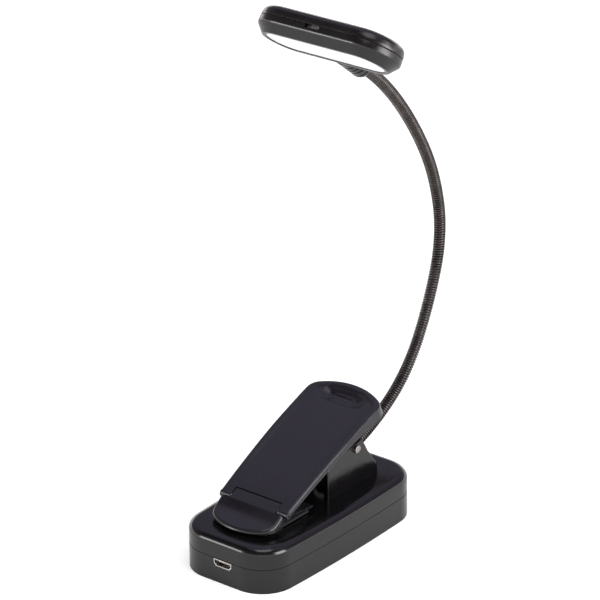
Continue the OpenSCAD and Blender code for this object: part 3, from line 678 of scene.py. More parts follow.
@dataclass(frozen=True)
class NeckPath:
    """The neck's middle line: seven arcs in the plane X = 0, straight before and after."""

    start: Point
    angle: float = 14.6
    link: float = 25.0
    bends: tuple[float, ...] = (18, 28, 12, 29, 18, 10, 13)

    @property
    def length(self) -> float:
        """Length of the bent part."""
        return self.link * len(self.bends)

    def at(self, s: float) -> tuple[float, float, float]:
        """The point at a distance along the neck.

        Args:
            s: distance from the start point, negative before it.

        Returns:
            Y, Z and the heading in degrees.
        """
        y, z = self.start
        heading = self.angle
        for bend in self.bends:
            if s <= 0:
                break
            step = min(s, self.link)
            turn = bend * step / self.link
            chord = 2 * self.link / math.radians(bend) * math.sin(math.radians(turn) / 2)
            way = math.radians(heading + turn / 2)
            y, z, heading = y + chord * math.cos(way), z + chord * math.sin(way), heading + turn
            s -= step
        way = math.radians(heading)
        return y + s * math.cos(way), z + s * math.sin(way), heading

    def frame(self, s: float) -> Matrix:
        """A frame at a distance along the neck: +Y along it, +X across."""
        y, z, heading = self.at(s)
        return Matrix.Translation((0, y, z)) @ turned(heading, "X")


@dataclass(frozen=True)
class BaseOutline:
    """The base seen from above: straight ends, gently bowed sides and round corners."""

    half_l: float
    half_w: float
    corner: float = 12.3
    bow: float = 1.4
    side_facets: int = 8
    corner_facets: int = 12

    def ring(self, inset: float, z: float) -> list[Vector]:
        """The outline drawn in by an inset, at a height.

        Args:
            inset: distance in from the outline.
            z: height of the ring.

        Returns:
            The ring's points, anticlockwise from the middle of the right side.
        """
        big = (self.half_l ** 2 + self.bow ** 2) / (2 * self.bow)
        y = self.half_l - self.corner
        x = self.half_w - big + math.sqrt((big - self.corner) ** 2 - y * y)
        lean = math.degrees(math.asin(y / (big - self.corner)))
        quarter = arc((self.half_w - big, 0), big - inset, 0, lean, self.side_facets)[:-1]
        quarter += arc((x, y), self.corner - inset, lean, 90, self.corner_facets)
        quarter += [(x * share, self.half_l - inset) for share in (0.66, 0.33)]
        back = quarter[::-1]
        loop = quarter + [(-px, py) for px, py in back]
        loop += [(-px, -py) for px, py in quarter[1:]] + [(px, -py) for px, py in back[:-1]]
        return [Vector((px, py, z)) for px, py in loop]


def rounded_ring(half_x: float, half_y: float, radius: float, steps: int = 4) -> list[Point]:
    """A rounded rectangle about the origin, anticlockwise.

    Args:
        half_x: half its width.
        half_y: half its length.
        radius: its corners' radius.
        steps: facets in each corner.

    Returns:
        Its points.
    """
    corners = enumerate(((1, 1), (-1, 1), (-1, -1), (1, -1)))
    return [point for k, (sx, sy) in corners
            for point in arc((sx * (half_x - radius), sy * (half_y - radius)), radius, 90 * k,
                             90 * k + 90, steps)]


@dataclass(frozen=True)
class Base:
    """The base's upper shell with the clip's cheeks and the neck's boss on it.

    A cheek's levels are its front and rear ends as (y from the pin, height above the crown); where
    it meets the crown only its rear end moves, given as (height, y).
    """

    outline: BaseOutline
    pin: Vector
    neck: NeckPath
    split: float = 8.8
    gap: float = 0.05
    lip: tuple[Point, ...] = ((0.3, 0.0), (0.08, 0.05), (0.0, 0.22))
    shoulder: float = 13.8
    crown: float = 16.5
    crown_round: float = 3.4
    wall: float = 2.0
    ceiling: float = 14.2
    cheek_x: float = 8.5
    cheek_t: float = 2.0
    cheek_corner: float = 0.4
    cheek_soft: float = 0.22
    cheek_front: float = -15.5
    cheek_foot: tuple[Point, ...] = ((-0.02, 12.3), (1.5, 12.25), (2.4, 12.1), (3.2, 11.8),
                                     (4.0, 11.35), (5.5, 10.3), (7.0, 9.25))
    cheek_levels: tuple[tuple[Point, Point], ...] = (
        ((-15.5, 9.7), (7.4, 9.5)), ((-15.42, 10.2), (6.9, 10.1)), ((-15.2, 10.6), (6.5, 10.8)),
        ((-14.79, 11.0), (6.1, 11.6)), ((-8.09, 14.0), (4.3, 14.7)), ((-7.9, 14.05), (4.0, 15.3)),
        ((-7.8, 14.2), (3.6, 15.8)))
    boss_r: float = 4.0
    boss_start: float = -15.9
    boss_mouth: float = -0.95
    boss_lip: float = 0.35
    bore_r: float = 2.35
    rib_reach: Point = (2.4, 13.5)
    rib_drop: float = 2.6
    rib_foot: float = 0.6
    rib_x: float = 2.0

    def shell(self, bm: BMesh) -> None:
        """The crowned shell, hollow below, with a softened lower edge.

        Args:
            bm: the mesh being built.
        """
        low = self.split + self.gap
        rings = [(self.wall, self.ceiling), (self.wall, low)]
        rings += [(inset, low + rise) for inset, rise in self.lip] + [(0, self.shoulder)]
        rings += [(self.crown_round * (1 - math.cos(a)),
                   self.shoulder + (self.crown - self.shoulder) * math.sin(a))
                  for a in (math.radians(7.5 * k) for k in range(1, 13))]
        skin(bm, [self.outline.ring(inset, z) for inset, z in rings])

    def cheek(self, bm: BMesh, side: int) -> None:
        """One upright cheek, whose rear edge slopes.

        Args:
            bm: the mesh being built.
            side: 1 for the right cheek, -1 for the left one.
        """
        levels = [((self.cheek_front, rise), (rear, rise)) for rise, rear in self.cheek_foot]
        rings = []
        for front, rear in (*levels, *self.cheek_levels):
            length = rear[0] - front[0]
            soft = self.cheek_soft if front == self.cheek_levels[-1][0] else 0.0
            ring = []
            for px, py in rounded_ring(self.cheek_t / 2 - soft, length / 2 - soft,
                                       self.cheek_corner):
                share = min(max((py + length / 2) / length, 0), 1)
                ring.append(Vector((
                    side * (self.cheek_x + self.cheek_t / 2) + px,
                    self.pin.y + front[0] + length / 2 + py,
                    self.crown + front[1] + (rear[1] - front[1]) * share)))
            rings.append(ring)
        skin(bm, rings)

    def boss(self, bm: BMesh) -> None:
        """The tube that holds the neck's lower end, standing on a rib.

        Args:
            bm: the mesh being built.
        """
        start, mouth, lip, r = self.boss_start, self.boss_mouth, self.boss_lip, self.boss_r
        profile = [(start, self.bore_r), (start, r - lip), (start + lip, r), (mouth - lip, r),
                   (mouth - lip * 0.3, r - lip * 0.3), (mouth, r - lip), (mouth, self.bore_r + 0.2),
                   (mouth - 0.2, self.bore_r), (start, self.bore_r)]
        lathe(bm, profile, 40, self.neck.frame(0) @ turned(-90, "X"))
        y, z, heading = self.neck.at(0)
        tilt = math.tan(math.radians(heading))
        foot = self.ceiling + self.rib_foot
        tops = [(y - reach, z - reach * tilt - self.rib_drop) for reach in self.rib_reach]
        slab(bm, [(tops[1][0], foot), (tops[0][0], foot), *tops], -self.rib_x, self.rib_x, 0.3)

    def build(self) -> None:
        """Makes the upper shell."""
        bm = bmesh.new()
        self.shell(bm)
        for side in (-1, 1):
            self.cheek(bm, side)
        self.boss(bm)
        make_piece(bm, "crowned_shell", "base", Slot.BASE, ["base_upper_shell"])


@dataclass(frozen=True)
class Neck:
    """The wound steel tube, one skin about each of the seven bends."""

    path: NeckPath
    outer_d: float = 4.34
    wire: float = 0.84
    turns_per_link: int = 27
    facets: int = 20
    wire_facets: int = 8
    core_sink: float = 0.22
    core_gap: float = 0.05
    bend_reach: float = 8.0
    root_reach: float = 0.9
    root_run: float = 1.3
    tip_run: float = 0.55

    def winding(self, first: float, last: float) -> BMesh:
        """A stretch of winding over its core, bent onto the neck's middle line.

        Args:
            first: where the stretch starts along the neck.
            last: where it ends.

        Returns:
            The mesh, in the frame's axes.
        """
        bm = bmesh.new()
        pitch = self.path.link / self.turns_per_link
        radius = (self.outer_d - self.wire) / 2
        steps = round((last - first) / pitch * self.facets)
        start = (Matrix.Translation((0, first, 0))
                 @ Matrix.Rotation(2 * math.pi * first / pitch, 4, "Y")
                 @ Matrix.Translation((radius, 0, 0)))
        coil(bm, start, self.wire, self.wire_facets, 2 * math.pi * steps / self.facets, steps,
             Vector((0, last - first, 0)))
        core = arc((0, 0), radius - self.core_sink, 0, 345, 23)
        count = max(2, round(last - first))
        places = [first + self.core_gap + (last - first - 2 * self.core_gap) * k / count
                  for k in range(count + 1)]
        skin(bm, [[Vector((x, s, z)) for x, z in core] for s in places])
        for vert in bm.verts:
            x, s, up = vert.co
            vert.co = self.path.frame(s) @ Vector((x, 0, up))
        return bm

    def build(self) -> None:
        """Makes the seven skins, one over each link, each baked in place without a body."""
        count = len(self.path.bends)
        bodies = ["base"] + [f"neck_{k}" for k in range(1, count)] + ["head"]
        half = self.path.link / 2
        for k in range(count):
            centre = k * self.path.link
            first = centre - half if k else -self.root_run
            last = centre + half if k < count - 1 else self.path.length + self.tip_run
            reach = self.bend_reach if k else self.root_reach
            start, end = (Vector((0, *self.path.at(s)[:2]))
                          for s in (centre - reach, centre + self.bend_reach))
            nodes = [f"neck_link_{k + 1}"] + ([] if k else ["neck_root"])
            make_piece(self.winding(first, last), f"neck_winding_{k + 1}", bodies[k], Slot.NECK,
                       nodes, None, 50, (bodies[k + 1], start, end))


# ---------------- lever and jaw


@dataclass(frozen=True)
class SoftEnd:
    """A plate's plan: straight sides and one softly curved end with round corners."""

    half: float
    corner: float
    end: float = 26.0
    fade: float = 12.0
    rounding: tuple[float, ...] = (0.0, 0.04, 0.13, 0.27, 0.45, 0.68, 0.95, 1.3, 1.7, 2.1, 2.5,
                                   2.9, 3.3)
    step: float = 0.25

    def at(self, x: float, back: float) -> Point:
        """Maps a straight plate's point into the plan.

        Args:
            x: distance from the middle line.
            back: distance in from the end.

        Returns:
            X, and the distance from the end's middle, negative inwards.
        """
        cx = self.half - self.corner
        reach = self.end - self.corner
        side = math.copysign(1, x)
        ax = min(abs(x), self.half)
        if back >= self.corner:
            near = math.sqrt(reach ** 2 - min(ax, cx) ** 2) - self.end
            t = min((back - self.corner) / self.fade, 1)
            return side * ax, -back + (near + self.corner) * (1 - t) ** 2
        if ax <= cx:
            lean = math.asin(ax / reach)
            return (side * (self.end - back) * math.sin(lean),
                    (self.end - back) * math.cos(lean) - self.end)
        px, py = ax - cx, self.corner - back
        turn = (math.pi / 2 - math.asin(cx / reach)) * math.atan2(py, px) / (math.pi / 2)
        out = max(px, py)
        cy = math.sqrt(reach ** 2 - cx ** 2) - self.end
        return side * (cx + out * math.cos(turn)), cy + out * math.sin(turn)

    def insets(self) -> list[float]:
        """Distances in from the edge, close together where the edge rounds over.

        Returns:
            The distances, from 0 to the corner's radius.
        """
        steps = list(self.rounding)
        rest = self.corner - steps[-1]
        more = rest / round(rest / self.step)
        while steps[-1] < self.corner - 0.01:
            steps.append(steps[-1] + more)
        return steps

    def sheet(self, bm: BMesh, xs: Sequence[float], backs: Sequence[float],
              place: Callable[[float, float, float, bool], Vector]) -> list[BMVert]:
        """Adds the plate's surface, with a wall down from its end and both sides.

        Args:
            bm: the mesh being built.
            xs: distances of the columns from the straight plate's middle line.
            backs: distances of the rows from its end.
            place: gives a corner's position from its X, its distance from the end's middle, its
                depth in from the outline, and whether it is the wall's foot.

        Returns:
            The new vertices.
        """
        columns = len(xs) + 1

        def corner(i: int, j: int) -> Vector:
            """The position of a corner.

            Args:
                i: its column.
                j: its row.

            Returns:
                The position.
            """
            x, back = xs[min(max(i - 1, 0), len(xs) - 1)], backs[max(j - 1, 0)]
            depth = min(self.half - abs(x), back)
            return place(*self.at(x, back), depth, i in (0, columns) or j == 0)

        return grid(bm, columns, len(backs), corner)


@dataclass(frozen=True)
class Lever:
    """The thumb lever: an arched plate with a soft rim, side skirts, ears and knuckles.

    Its own axes are x across, u along from the pin, towards the thumb, and v up. The thumb's bowl
    is (width, length, depth), and each part of its slope is (share, start, end) in from its rim;
    the ridges on its pad are (rise, swing, pitch).
    """

    frame: Matrix
    plan: SoftEnd = SoftEnd(15.4, 5.3)
    rear: float = 18.2
    jaw_u: float = -41.2
    jaw_v: float = 9.8
    front_run: float = 1.4
    rise: float = 10.5
    arch: float = 1.2
    plate: float = 2.0
    skirt: float = 1.6
    skirt_front: float = 8.9
    skirt_marks: tuple[Point, ...] = ((-27.0, 9.34), (-11.0, 9.34), (-3.0, 8.6), (11.7, 6.2),
                                      (99.0, 6.2))
    edge: float = 0.9
    taper_u: float = -10.6
    taper: float = 0.8
    taper_run: float = 30.6
    notch_x: float = 10.0
    notch_r: float = 3.1
    dish: float = 0.4
    dish_rim: Point = (1.5, 3.6)
    dish_run: Point = (-40.0, -16.0)
    thumb: Triple = (18.6, 7.4, 1.35)
    thumb_back: float = 7.1
    bowl: tuple[Triple, ...] = ((0.1, 0.0, 0.4), (0.9, -0.7, 3.5))
    pad_x: Point = (4.4, 3.6)
    pad_u: Point = (2.1, 1.6)
    ridge: Triple = (0.16, 0.07, 1.1)
    column: float = 0.5
    row: float = 0.24
    fine: float = 10.6
    knuckle_x: float = 14.6
    knuckle_r: float = 1.4
    knuckle_bore: float = 0.6
    knuckle_drop: float = 0.62
    ear_x: Point = (6.3, 8.2)
    ear_r: float = 3.4
    ear_top: tuple[Point, ...] = ((6.0, 10.4), (-6.0, 10.4))
    rib: tuple[Point, ...] = ((-32.2, 8.3), (0, 7.7), (13.7, 8.3), (13.7, 9.4), (0, 10.2),
                              (-12, 10.2), (-32.2, 9.6))

    def arched(self, u: float) -> float:
        """Height of the arched top.

        Args:
            u: distance along the lever.

        Returns:
            The height in the lever's frame.
        """
        front = self.jaw_u - self.front_run
        half, middle = (self.rear - front) / 2, (self.rear + front) / 2
        radius = (half ** 2 + self.arch ** 2) / (2 * self.arch)
        return self.rise + self.arch - radius + math.sqrt(radius ** 2 - (u - middle) ** 2)

    def skirt_line(self, u: float) -> float:
        """Height of the skirt's lower edge at a distance along the lever."""
        starts = ((self.jaw_u, self.skirt_front), *self.skirt_marks)
        return next(v0 + (v1 - v0) * max(u - u0, 0) / (u1 - u0)
                    for (u0, v0), (u1, v1) in zip(starts, self.skirt_marks) if u <= u1)

    def top(self, x: float, u: float, inset: float) -> float:
        """Height of the top surface.

        Args:
            x: distance from the middle line.
            u: distance along the lever.
            inset: distance in from the outline.

        Returns:
            The height in the lever's frame.
        """
        height = self.arched(u)
        if inset < self.edge:
            height += math.sqrt(self.edge ** 2 - (self.edge - inset) ** 2) - self.edge
        height -= self.dish * smooth(*self.dish_rim, inset) * smooth(*self.dish_run, u)
        wide, long, deep = self.thumb
        dx = max(abs(x) - (wide - long) / 2, 0)
        du = u - (self.rear - self.thumb_back)
        inside = long / 2 - math.hypot(dx, du)
        height -= deep * sum(share * smooth(low, high, inside) for share, low, high in self.bowl)
        pad = smooth(*self.pad_x, abs(x)) * smooth(*self.pad_u, abs(du))
        rise, swing, pitch = self.ridge
        return height + pad * (rise + swing * (0.5 + 0.5 * math.cos(2 * math.pi * du / pitch)))

    def layer(self, bm: BMesh, inset: float, drop: float) -> None:
        """One side of the lever's wall, from the skirt's edge over the top and down again.

        Args:
            bm: the mesh being built.
            inset: distance in from the outline.
            drop: distance below the top surface.
        """
        plan, notch_x = self.plan, self.notch_x
        squeeze = (plan.corner - inset) / plan.corner
        rims = [inset + d * squeeze for d in plan.insets()]
        cx = plan.half - plan.corner
        count = int(2 * notch_x / self.column)
        middle = [-cx] + [-notch_x + self.column * k for k in range(count + 1)] + [cx]
        sides = [plan.half - d for d in rims[:-1]]
        xs = [-x for x in sides] + middle + sides[::-1]
        backs = rims[:]
        while backs[-1] < self.fine:
            backs.append(backs[-1] + self.row)
        notch = self.rear - (self.jaw_u + self.notch_r)
        count = round(notch - backs[-1])
        backs += [backs[-1] + (notch - backs[-1]) * (k + 1) / count for k in range(count)]
        backs += [notch + 1.0, notch + 2.0, self.rear - self.jaw_u]

        def place(x: float, behind: float, depth: float, foot: bool) -> Vector:
            """The position of a corner, with the lever narrower towards the jaw.

            Args:
                x: distance from the middle line.
                behind: distance from the rear end's middle, negative inwards.
                depth: distance in from the outline.
                foot: whether it is the skirt's foot.

            Returns:
                The position in the lever's frame.
            """
            u = self.rear + behind
            width = plan.half
            if u <= self.taper_u:
                width -= self.taper * (self.taper_u - u) / self.taper_run
            if abs(x) > notch_x:
                beyond = (abs(x) - notch_x) * (width - notch_x) / (plan.half - notch_x)
                x = math.copysign(notch_x + beyond, x)
            top = self.arched(u) - drop if drop else self.top(x, u, depth)
            return Vector((x, u, self.skirt_line(u) if foot else top))

        made = plan.sheet(bm, xs, backs, place)
        cut = self.jaw_u + self.notch_r + 0.01
        gone = [f for f in {f for v in made for f in v.link_faces}
                if all(abs(v.co.x) < notch_x + 0.01 and v.co.y < cut for v in f.verts)]
        bmesh.ops.delete(bm, geom=gone, context="FACES")

    def build(self) -> None:
        """Makes the lever."""
        bm = bmesh.new()
        self.layer(bm, 0.0, 0.0)
        self.layer(bm, self.skirt, self.plate)
        bmesh.ops.remove_doubles(bm, verts=bm.verts, dist=WELD)
        bmesh.ops.bridge_loops(bm, edges=open_rims(bm))
        hinge = Matrix.Translation((0, self.jaw_u, self.jaw_v - self.knuckle_drop))
        inner, outer, r, bore = self.notch_x, self.knuckle_x, self.knuckle_r, self.knuckle_bore
        knuckle = [(inner, bore), (inner, r - 0.15), (inner + 0.15, r), (outer - 0.35, r),
                   (outer - 0.1, r - 0.12), (outer, r - 0.4), (outer, bore), (inner, bore)]
        for side in (-1, 1):
            lathe(bm, [(side * x, radius) for x, radius in knuckle], 28, hinge @ turned(90, "Y"))
            low, high = sorted(side * x for x in self.ear_x)
            slab(bm, arc((0, 0), self.ear_r, 180, 360, 18) + list(self.ear_top), low, high, 0.3)
            slab(bm, self.rib, low, high, 0.2)
        make_piece(bm, "thumb_lever", "lever", Slot.LEVER, ["clip_lever"], self.frame)


@dataclass(frozen=True)
class Jaw:
    """The floating jaw: a finger lip, its tongue and the thin plate that carries the pad."""

    origin: Vector
    slope: float
    plan: SoftEnd = SoftEnd(13.2, 6.6, end=20.0, fade=4.0)
    front: float = 12.4
    low: float = -4.92
    flush: float = 0.8
    strip: float = -1.7
    crease: float = -5.4
    crease_step: float = 0.16
    crease_run: float = 0.9
    scoop: Point = (1.35, 0.25)
    lip_top: float = -2.55
    lip_slope: float = 0.2
    edge: float = 1.1
    nose_back: float = -1.75
    columns: int = 8
    fine: float = 2.2
    row: float = 0.2
    rows: int = 46
    tongue_r: float = 2.9
    tongue_x: float = 9.7
    tongue_back: float = -1.8
    tongue_rise: float = 0.4
    tongue_drop: float = 1.89
    tongue_arc: Point = (-40.6, 37.7)
    plate: tuple[Point, ...] = ((-6.0, 0.03), (17.0, 0.03), (17.0, 0.83), (2.2, 1.83),
                                (-6.0, 1.83))
    plate_x: float = 11.5

    def top(self, y: float) -> float:
        """Height of the nose's top: a strip flush with the lever, a scoop and a flat lip.

        Args:
            y: distance from the jaw's pin, negative towards the lip.

        Returns:
            The height above the jaw's pin.
        """
        lip = self.lip_top + (y - self.crease) * self.lip_slope
        if y <= self.crease:
            return lip + self.crease_step * smooth(self.crease - self.crease_run, self.crease, y)
        lip += self.crease_step
        line = self.flush + y * self.slope
        share = min(max((self.strip - y) / (self.strip - self.crease), 0), 1)
        power, swell = self.scoop
        return line + (lip - line) * (share ** power * (1.0 + swell * (1 - share)))

    def nose(self, bm: BMesh) -> None:
        """The D-shaped nose, with a rounded edge all round.

        Args:
            bm: the mesh being built.
        """
        rims = self.plan.insets()
        cx = self.plan.half - self.plan.corner
        sides = [self.plan.half - d for d in rims]
        middle = [cx * k / self.columns for k in range(1 - self.columns, self.columns)]
        xs = [-x for x in sides] + middle + sides[::-1]
        backs = [b for b in rims if b < self.fine]
        backs += [self.fine + self.row * k for k in range(self.rows)]

        def place(x: float, behind: float, depth: float, foot: bool) -> Vector:
            """The position of a corner, lower where the edge rounds over.

            Args:
                x: distance from the middle line.
                behind: distance from the lip's middle, negative inwards.
                depth: distance in from the outline.
                foot: whether it is the wall's foot.

            Returns:
                The position from the jaw's pin.
            """
            y = -self.front - behind
            ease = max(0.0, 1 - depth / self.edge)
            drop = self.edge * (1 - math.sqrt(1 - ease * ease))
            return Vector((x, y, self.low if foot else max(self.top(y) - drop, self.low + 0.05)))

        bmesh.ops.remove_doubles(bm, verts=self.plan.sheet(bm, xs, backs, place), dist=WELD)
        split_flat(bm, Vector((0, self.nose_back, 0)), Vector((0, 1, 0)), clear_outer=True)
        rest = open_rims(bm)
        feet = {v for e in rest for v in e.verts
                if v.co.y > self.nose_back - 0.01 and v.co.z < self.low + 0.01}
        made = bmesh.ops.contextual_create(bm, geom=list(feet))
        bmesh.ops.edgenet_fill(bm, edges=rest + made["edges"])

    def build(self) -> None:
        """Makes the jaw."""
        bm = bmesh.new()
        self.nose(bm)
        foot = self.low + self.tongue_rise
        reach = math.sqrt(self.tongue_r ** 2 - self.tongue_drop ** 2)
        outline = [(self.tongue_back, foot), (reach, foot),
                   *arc((0, 0), self.tongue_r, *self.tongue_arc, 10),
                   (self.tongue_back, self.top(self.tongue_back))]
        slab(bm, outline, -self.tongue_x, self.tongue_x, 0.12)
        slab(bm, [(y, self.low + rise) for y, rise in self.plate], -self.plate_x, self.plate_x,
             0.12)
        make_piece(bm, "jaw_nose", "jaw", Slot.JAW, ["floating_jaw"],
                   Matrix.Translation(self.origin))


@dataclass(frozen=True)
class ClipSteel:
    """The clip's pin and its torsion spring."""

    pin: Vector
    tilt: float
    pin_d: float = 3.0
    pin_half: float = 11.6
    wire: float = 1.1
    wire_facets: int = 10
    coil_r: float = 3.0
    half: float = 4.88
    turns: int = 8
    steps: int = 160
    foot: Point = (9.4, -12.82)
    tip: Point = (9.0, 8.7)

    def leg(self, bm: BMesh, angle: float, end: Vector) -> None:
        """Adds a leg that leaves the coil.

        Args:
            bm: the mesh being built.
            angle: where it leaves the coil, in degrees about the pin.
            end: where it ends, from the pin.
        """
        turn = math.radians(angle)
        start = Vector((end.x, self.coil_r * math.cos(turn), self.coil_r * math.sin(turn)))
        rod(bm, start, end, self.wire / 2)

    def touch(self, end: Vector, side: int) -> float:
        """The angle at which a leg to a point leaves the coil.

        Args:
            end: the leg's end, from the pin.
            side: 1 if the leg leaves ahead of its end's own angle, -1 if behind.

        Returns:
            The angle about the pin, in degrees.
        """
        bend = math.acos(self.coil_r / math.hypot(end.y, end.z))
        return math.degrees(math.atan2(end.z, end.y) + side * bend)

    def build(self) -> None:
        """Makes the pin, the coil with its lower leg, and the upper leg that the lever carries."""
        place = Matrix.Translation(self.pin)
        bm = bmesh.new()
        rod(bm, Vector((-self.pin_half, 0, 0)), Vector((self.pin_half, 0, 0)), self.pin_d / 2, 40,
            0.3)
        make_piece(bm, "hinge_pin", "base", Slot.PIN, ["clip_pin"], place)
        foot = Vector((-self.half, *self.foot))
        (u, v), cos, sin = self.tip, math.cos(self.tilt), math.sin(self.tilt)
        tip = Vector((self.half, u * cos - v * sin, u * sin + v * cos))
        start, stop = self.touch(foot, -1), self.touch(tip, 1) - self.turns * 360
        bm = bmesh.new()
        section = (Matrix.Translation((-self.half, 0, 0)) @ turned(start, "X")
                   @ Matrix.Translation((0, self.coil_r, 0)))
        coil(bm, section, self.wire, self.wire_facets, math.radians(stop - start), self.steps,
             Vector((2 * self.half, 0, 0)))
        self.leg(bm, start, foot)
        make_piece(bm, "spring_coil", "base", Slot.SPRING, ["clip_spring"], place, 50)
        bm = bmesh.new()
        self.leg(bm, stop, tip)
        make_piece(bm, "spring_upper_leg", "lever", Slot.SPRING, (), place, 50)


# ---------------- head


@dataclass(frozen=True)
class Head:
    """The bar-shaped head: bezel, back cover, sleeve, collar and switch knob.

    Rings are (distance in from the outline, depth behind the light face).
    """

    frame: Matrix
    half_l: float = 27.49
    radius: float = 11.5
    face_z: float = 4.0
    middle: float = 25.4
    wall: float = 1.5
    end_facets: int = 32
    marks: tuple[float, ...] = (7.5, 12.0)
    face_rings: tuple[Point, ...] = ((4.1, 1.4), (4.1, 0.25), (4.03, 0.07), (3.85, 0), (2.95, 0),
                                     (2.75, 0.02))
    chamfer: tuple[float, float, float, float] = (2.62, 0.1, 2.2, 2.6)
    bulge: Point = (0.1064, 0.0896)
    ridge_rings: tuple[Point, ...] = ((0.30, 2.86), (0.20, 3.02), (0.115, 3.2), (0.05, 3.38),
                                      (0.013, 3.56), (0, 3.75))
    seat: Point = (2.8, 3.0)
    seat_top: float = 1.4
    back_inside: tuple[Point, ...] = ((5.5, 8.4), (2.4, 8.0))
    back_round: tuple[float, float, float, float] = (0.3, 4.2, 7.3, 2.56)
    slot_x: float = -0.4
    slot_half: float = 3.1
    slot_depth: float = 4.2
    bore: float = 2.29
    sleeve_r: float = 4.0
    sleeve: Point = (4.5, 15.4)
    sleeve_facets: int = 48
    grooves: tuple[float, ...] = (6.6, 8.8, 11.0)
    parting: Point = (5.56, 5.62)
    seam: Point = (5.52, 5.66)
    collar_over: float = 0.1
    collar_y: tuple[float, float, float, float] = (0.56, 4.3, 4.38, 4.4)
    knob_x: Point = (0.2, 2.9)
    knob_ridges: Triple = (0.65, 0.7, 0.16)
    knob_y: tuple[float, float, float, float] = (33.9, 37.3, 37.55, 37.7)
    knob_z: tuple[float, float, float, float] = (-1.45, -1.35, -0.45, -0.35)

    def ring(self, inset: float, depth: float) -> list[Vector]:
        """The head's outline drawn in, at a depth behind the light face.

        Args:
            inset: distance in from the outline.
            depth: distance behind the light face.

        Returns:
            The ring's points.
        """
        run, radius = self.half_l - self.radius, self.radius - inset
        marks = [*self.marks[::-1], self.slot_x + self.slot_half, self.slot_x - self.slot_half]
        marks += [-x for x in self.marks]
        loop = arc((run, 0), radius, -90, 90, self.end_facets)
        loop += [(x, radius) for x in marks]
        loop += arc((-run, 0), radius, 90, 270, self.end_facets)
        loop += [(-x, -radius) for x in marks]
        return [Vector((x, y + self.middle, self.face_z - depth)) for x, y in loop]

    def bezel(self) -> BMesh:
        """The bezel with the switch's slot cut through its wall.

        Returns:
            The mesh.
        """
        bm = bmesh.new()
        (inset, depth, run, fall), (out, up) = self.chamfer, self.bulge
        chamfer = [(inset - run * t + out * math.sin(math.pi * t),
                    depth + fall * t - up * math.sin(math.pi * t))
                   for t in (k / 6 for k in range(7))]
        wall, depth, seam, (seat, seat_low) = self.wall, self.slot_depth, self.seam[0], self.seat
        rings = (*self.face_rings, *chamfer, *self.ridge_rings, (0.02, depth), (0.06, 5.3),
                 (0.14, 5.46), (0.32, seam), (wall, seam), (wall, depth), (wall, seat_low),
                 (seat, seat_low), (seat, self.seat_top))
        skin(bm, [self.ring(inset, depth) for inset, depth in rings], closed=True)
        self.cut_slot(bm)
        return bm

    def cut_slot(self, bm: BMesh) -> None:
        """Opens the switch's slot from its depth down to the bezel's lower edge.

        Args:
            bm: the bezel's mesh.
        """
        low, high = self.slot_x - self.slot_half - 0.01, self.slot_x + self.slot_half + 0.01
        level = self.face_z - self.slot_depth + 0.01
        inner = self.middle + self.radius - self.wall - 0.01
        gone = [f for f in bm.faces if all(low < v.co.x < high and v.co.z < level
                                           and v.co.y > inner for v in f.verts)]
        bmesh.ops.delete(bm, geom=gone, context="FACES")
        ceiling = [e for e in open_rims(bm)
                   if all(abs(v.co.z - level + 0.01) < 0.005 for v in e.verts)]
        bmesh.ops.bridge_loops(bm, edges=ceiling)
        cap(bm)

    def cover(self) -> BMesh:
        """The rounded back cover.

        Returns:
            The mesh.
        """
        bm = bmesh.new()
        inset, run, depth, rise = self.back_round
        outer = [(inset + run * (1 - math.cos(a)), depth + rise * math.sin(a))
                 for a in (math.radians(7.5 * k) for k in range(13))]
        wall, seam = self.wall, self.seam[1]
        rings = (*self.back_inside, (wall, 7.0), (wall, seam), (0.32, seam), (0.15, 5.72),
                 (0.1, 5.9), (0.1, 6.4), (0.17, 6.9), *outer)
        skin(bm, [self.ring(*ring) for ring in rings])
        return bm

    def half_sleeve(self, bm: BMesh, upper: bool) -> None:
        """One half of the grooved sleeve, split on the head's parting plane.

        Args:
            bm: the mesh being built.
            upper: whether it is the half on the light face's side.
        """
        r, (start, end) = self.sleeve_r, self.sleeve
        profile = [(start, self.bore), (start, r - 0.15), (start + 0.15, r)]
        for y in self.grooves:
            profile += [(y - 0.08, r), (y, r - 0.08), (y + 0.04, r - 0.35), (y + 0.56, r - 0.35),
                        (y + 0.6, r - 0.08), (y + 0.68, r)]
        profile += [(end, r), (end, self.bore), (start, self.bore)]
        part = bmesh.new()
        lathe(part, profile, self.sleeve_facets, turned(-90, "X"))
        level = self.face_z - self.parting[0 if upper else 1]
        split_flat(part, Vector((0, 0, level)), Vector((0, 0, 1)), clear_inner=upper,
                   clear_outer=not upper)
        cap(part)
        spare = as_mesh(part, "half_sleeve")
        bm.from_mesh(spare)
        bpy.data.meshes.remove(spare)

    def collar(self) -> BMesh:
        """The domed ring round the neck's end.

        Returns:
            The mesh.
        """
        bm = bmesh.new()
        r, (start, crest, rim, end) = self.sleeve_r + self.collar_over, self.collar_y
        first = math.degrees(math.acos(self.bore / r))
        dome = [(crest - rise, radius) for radius, rise in arc((0, 0), r, first, 0, 12)]
        profile = [(start, self.bore), *dome[1:], (rim, r - 0.02), (end, self.bore),
                   (start, self.bore)]
        lathe(bm, profile, self.sleeve_facets, turned(-90, "X"))
        return bm

    def knob(self) -> BMesh:
        """The switch's knob with three grip ridges.

        Returns:
            The mesh.
        """
        bm = bmesh.new()
        low, high = (self.slot_x + x for x in self.knob_x)
        first, pitch, half = self.knob_ridges
        (back, root, face, crest), (z0, z1, z2, z3) = self.knob_y, self.knob_z
        slab(bm, [(back, z0), (face, z0), (face, z3), (back, z3)], low, high, 0.18, 3)
        for k in range(3):
            x = low + first + pitch * k
            slab(bm, [(root, z1), (crest, z1), (crest, z2), (root, z2)], x - half, x + half, 0.1)
        return bm

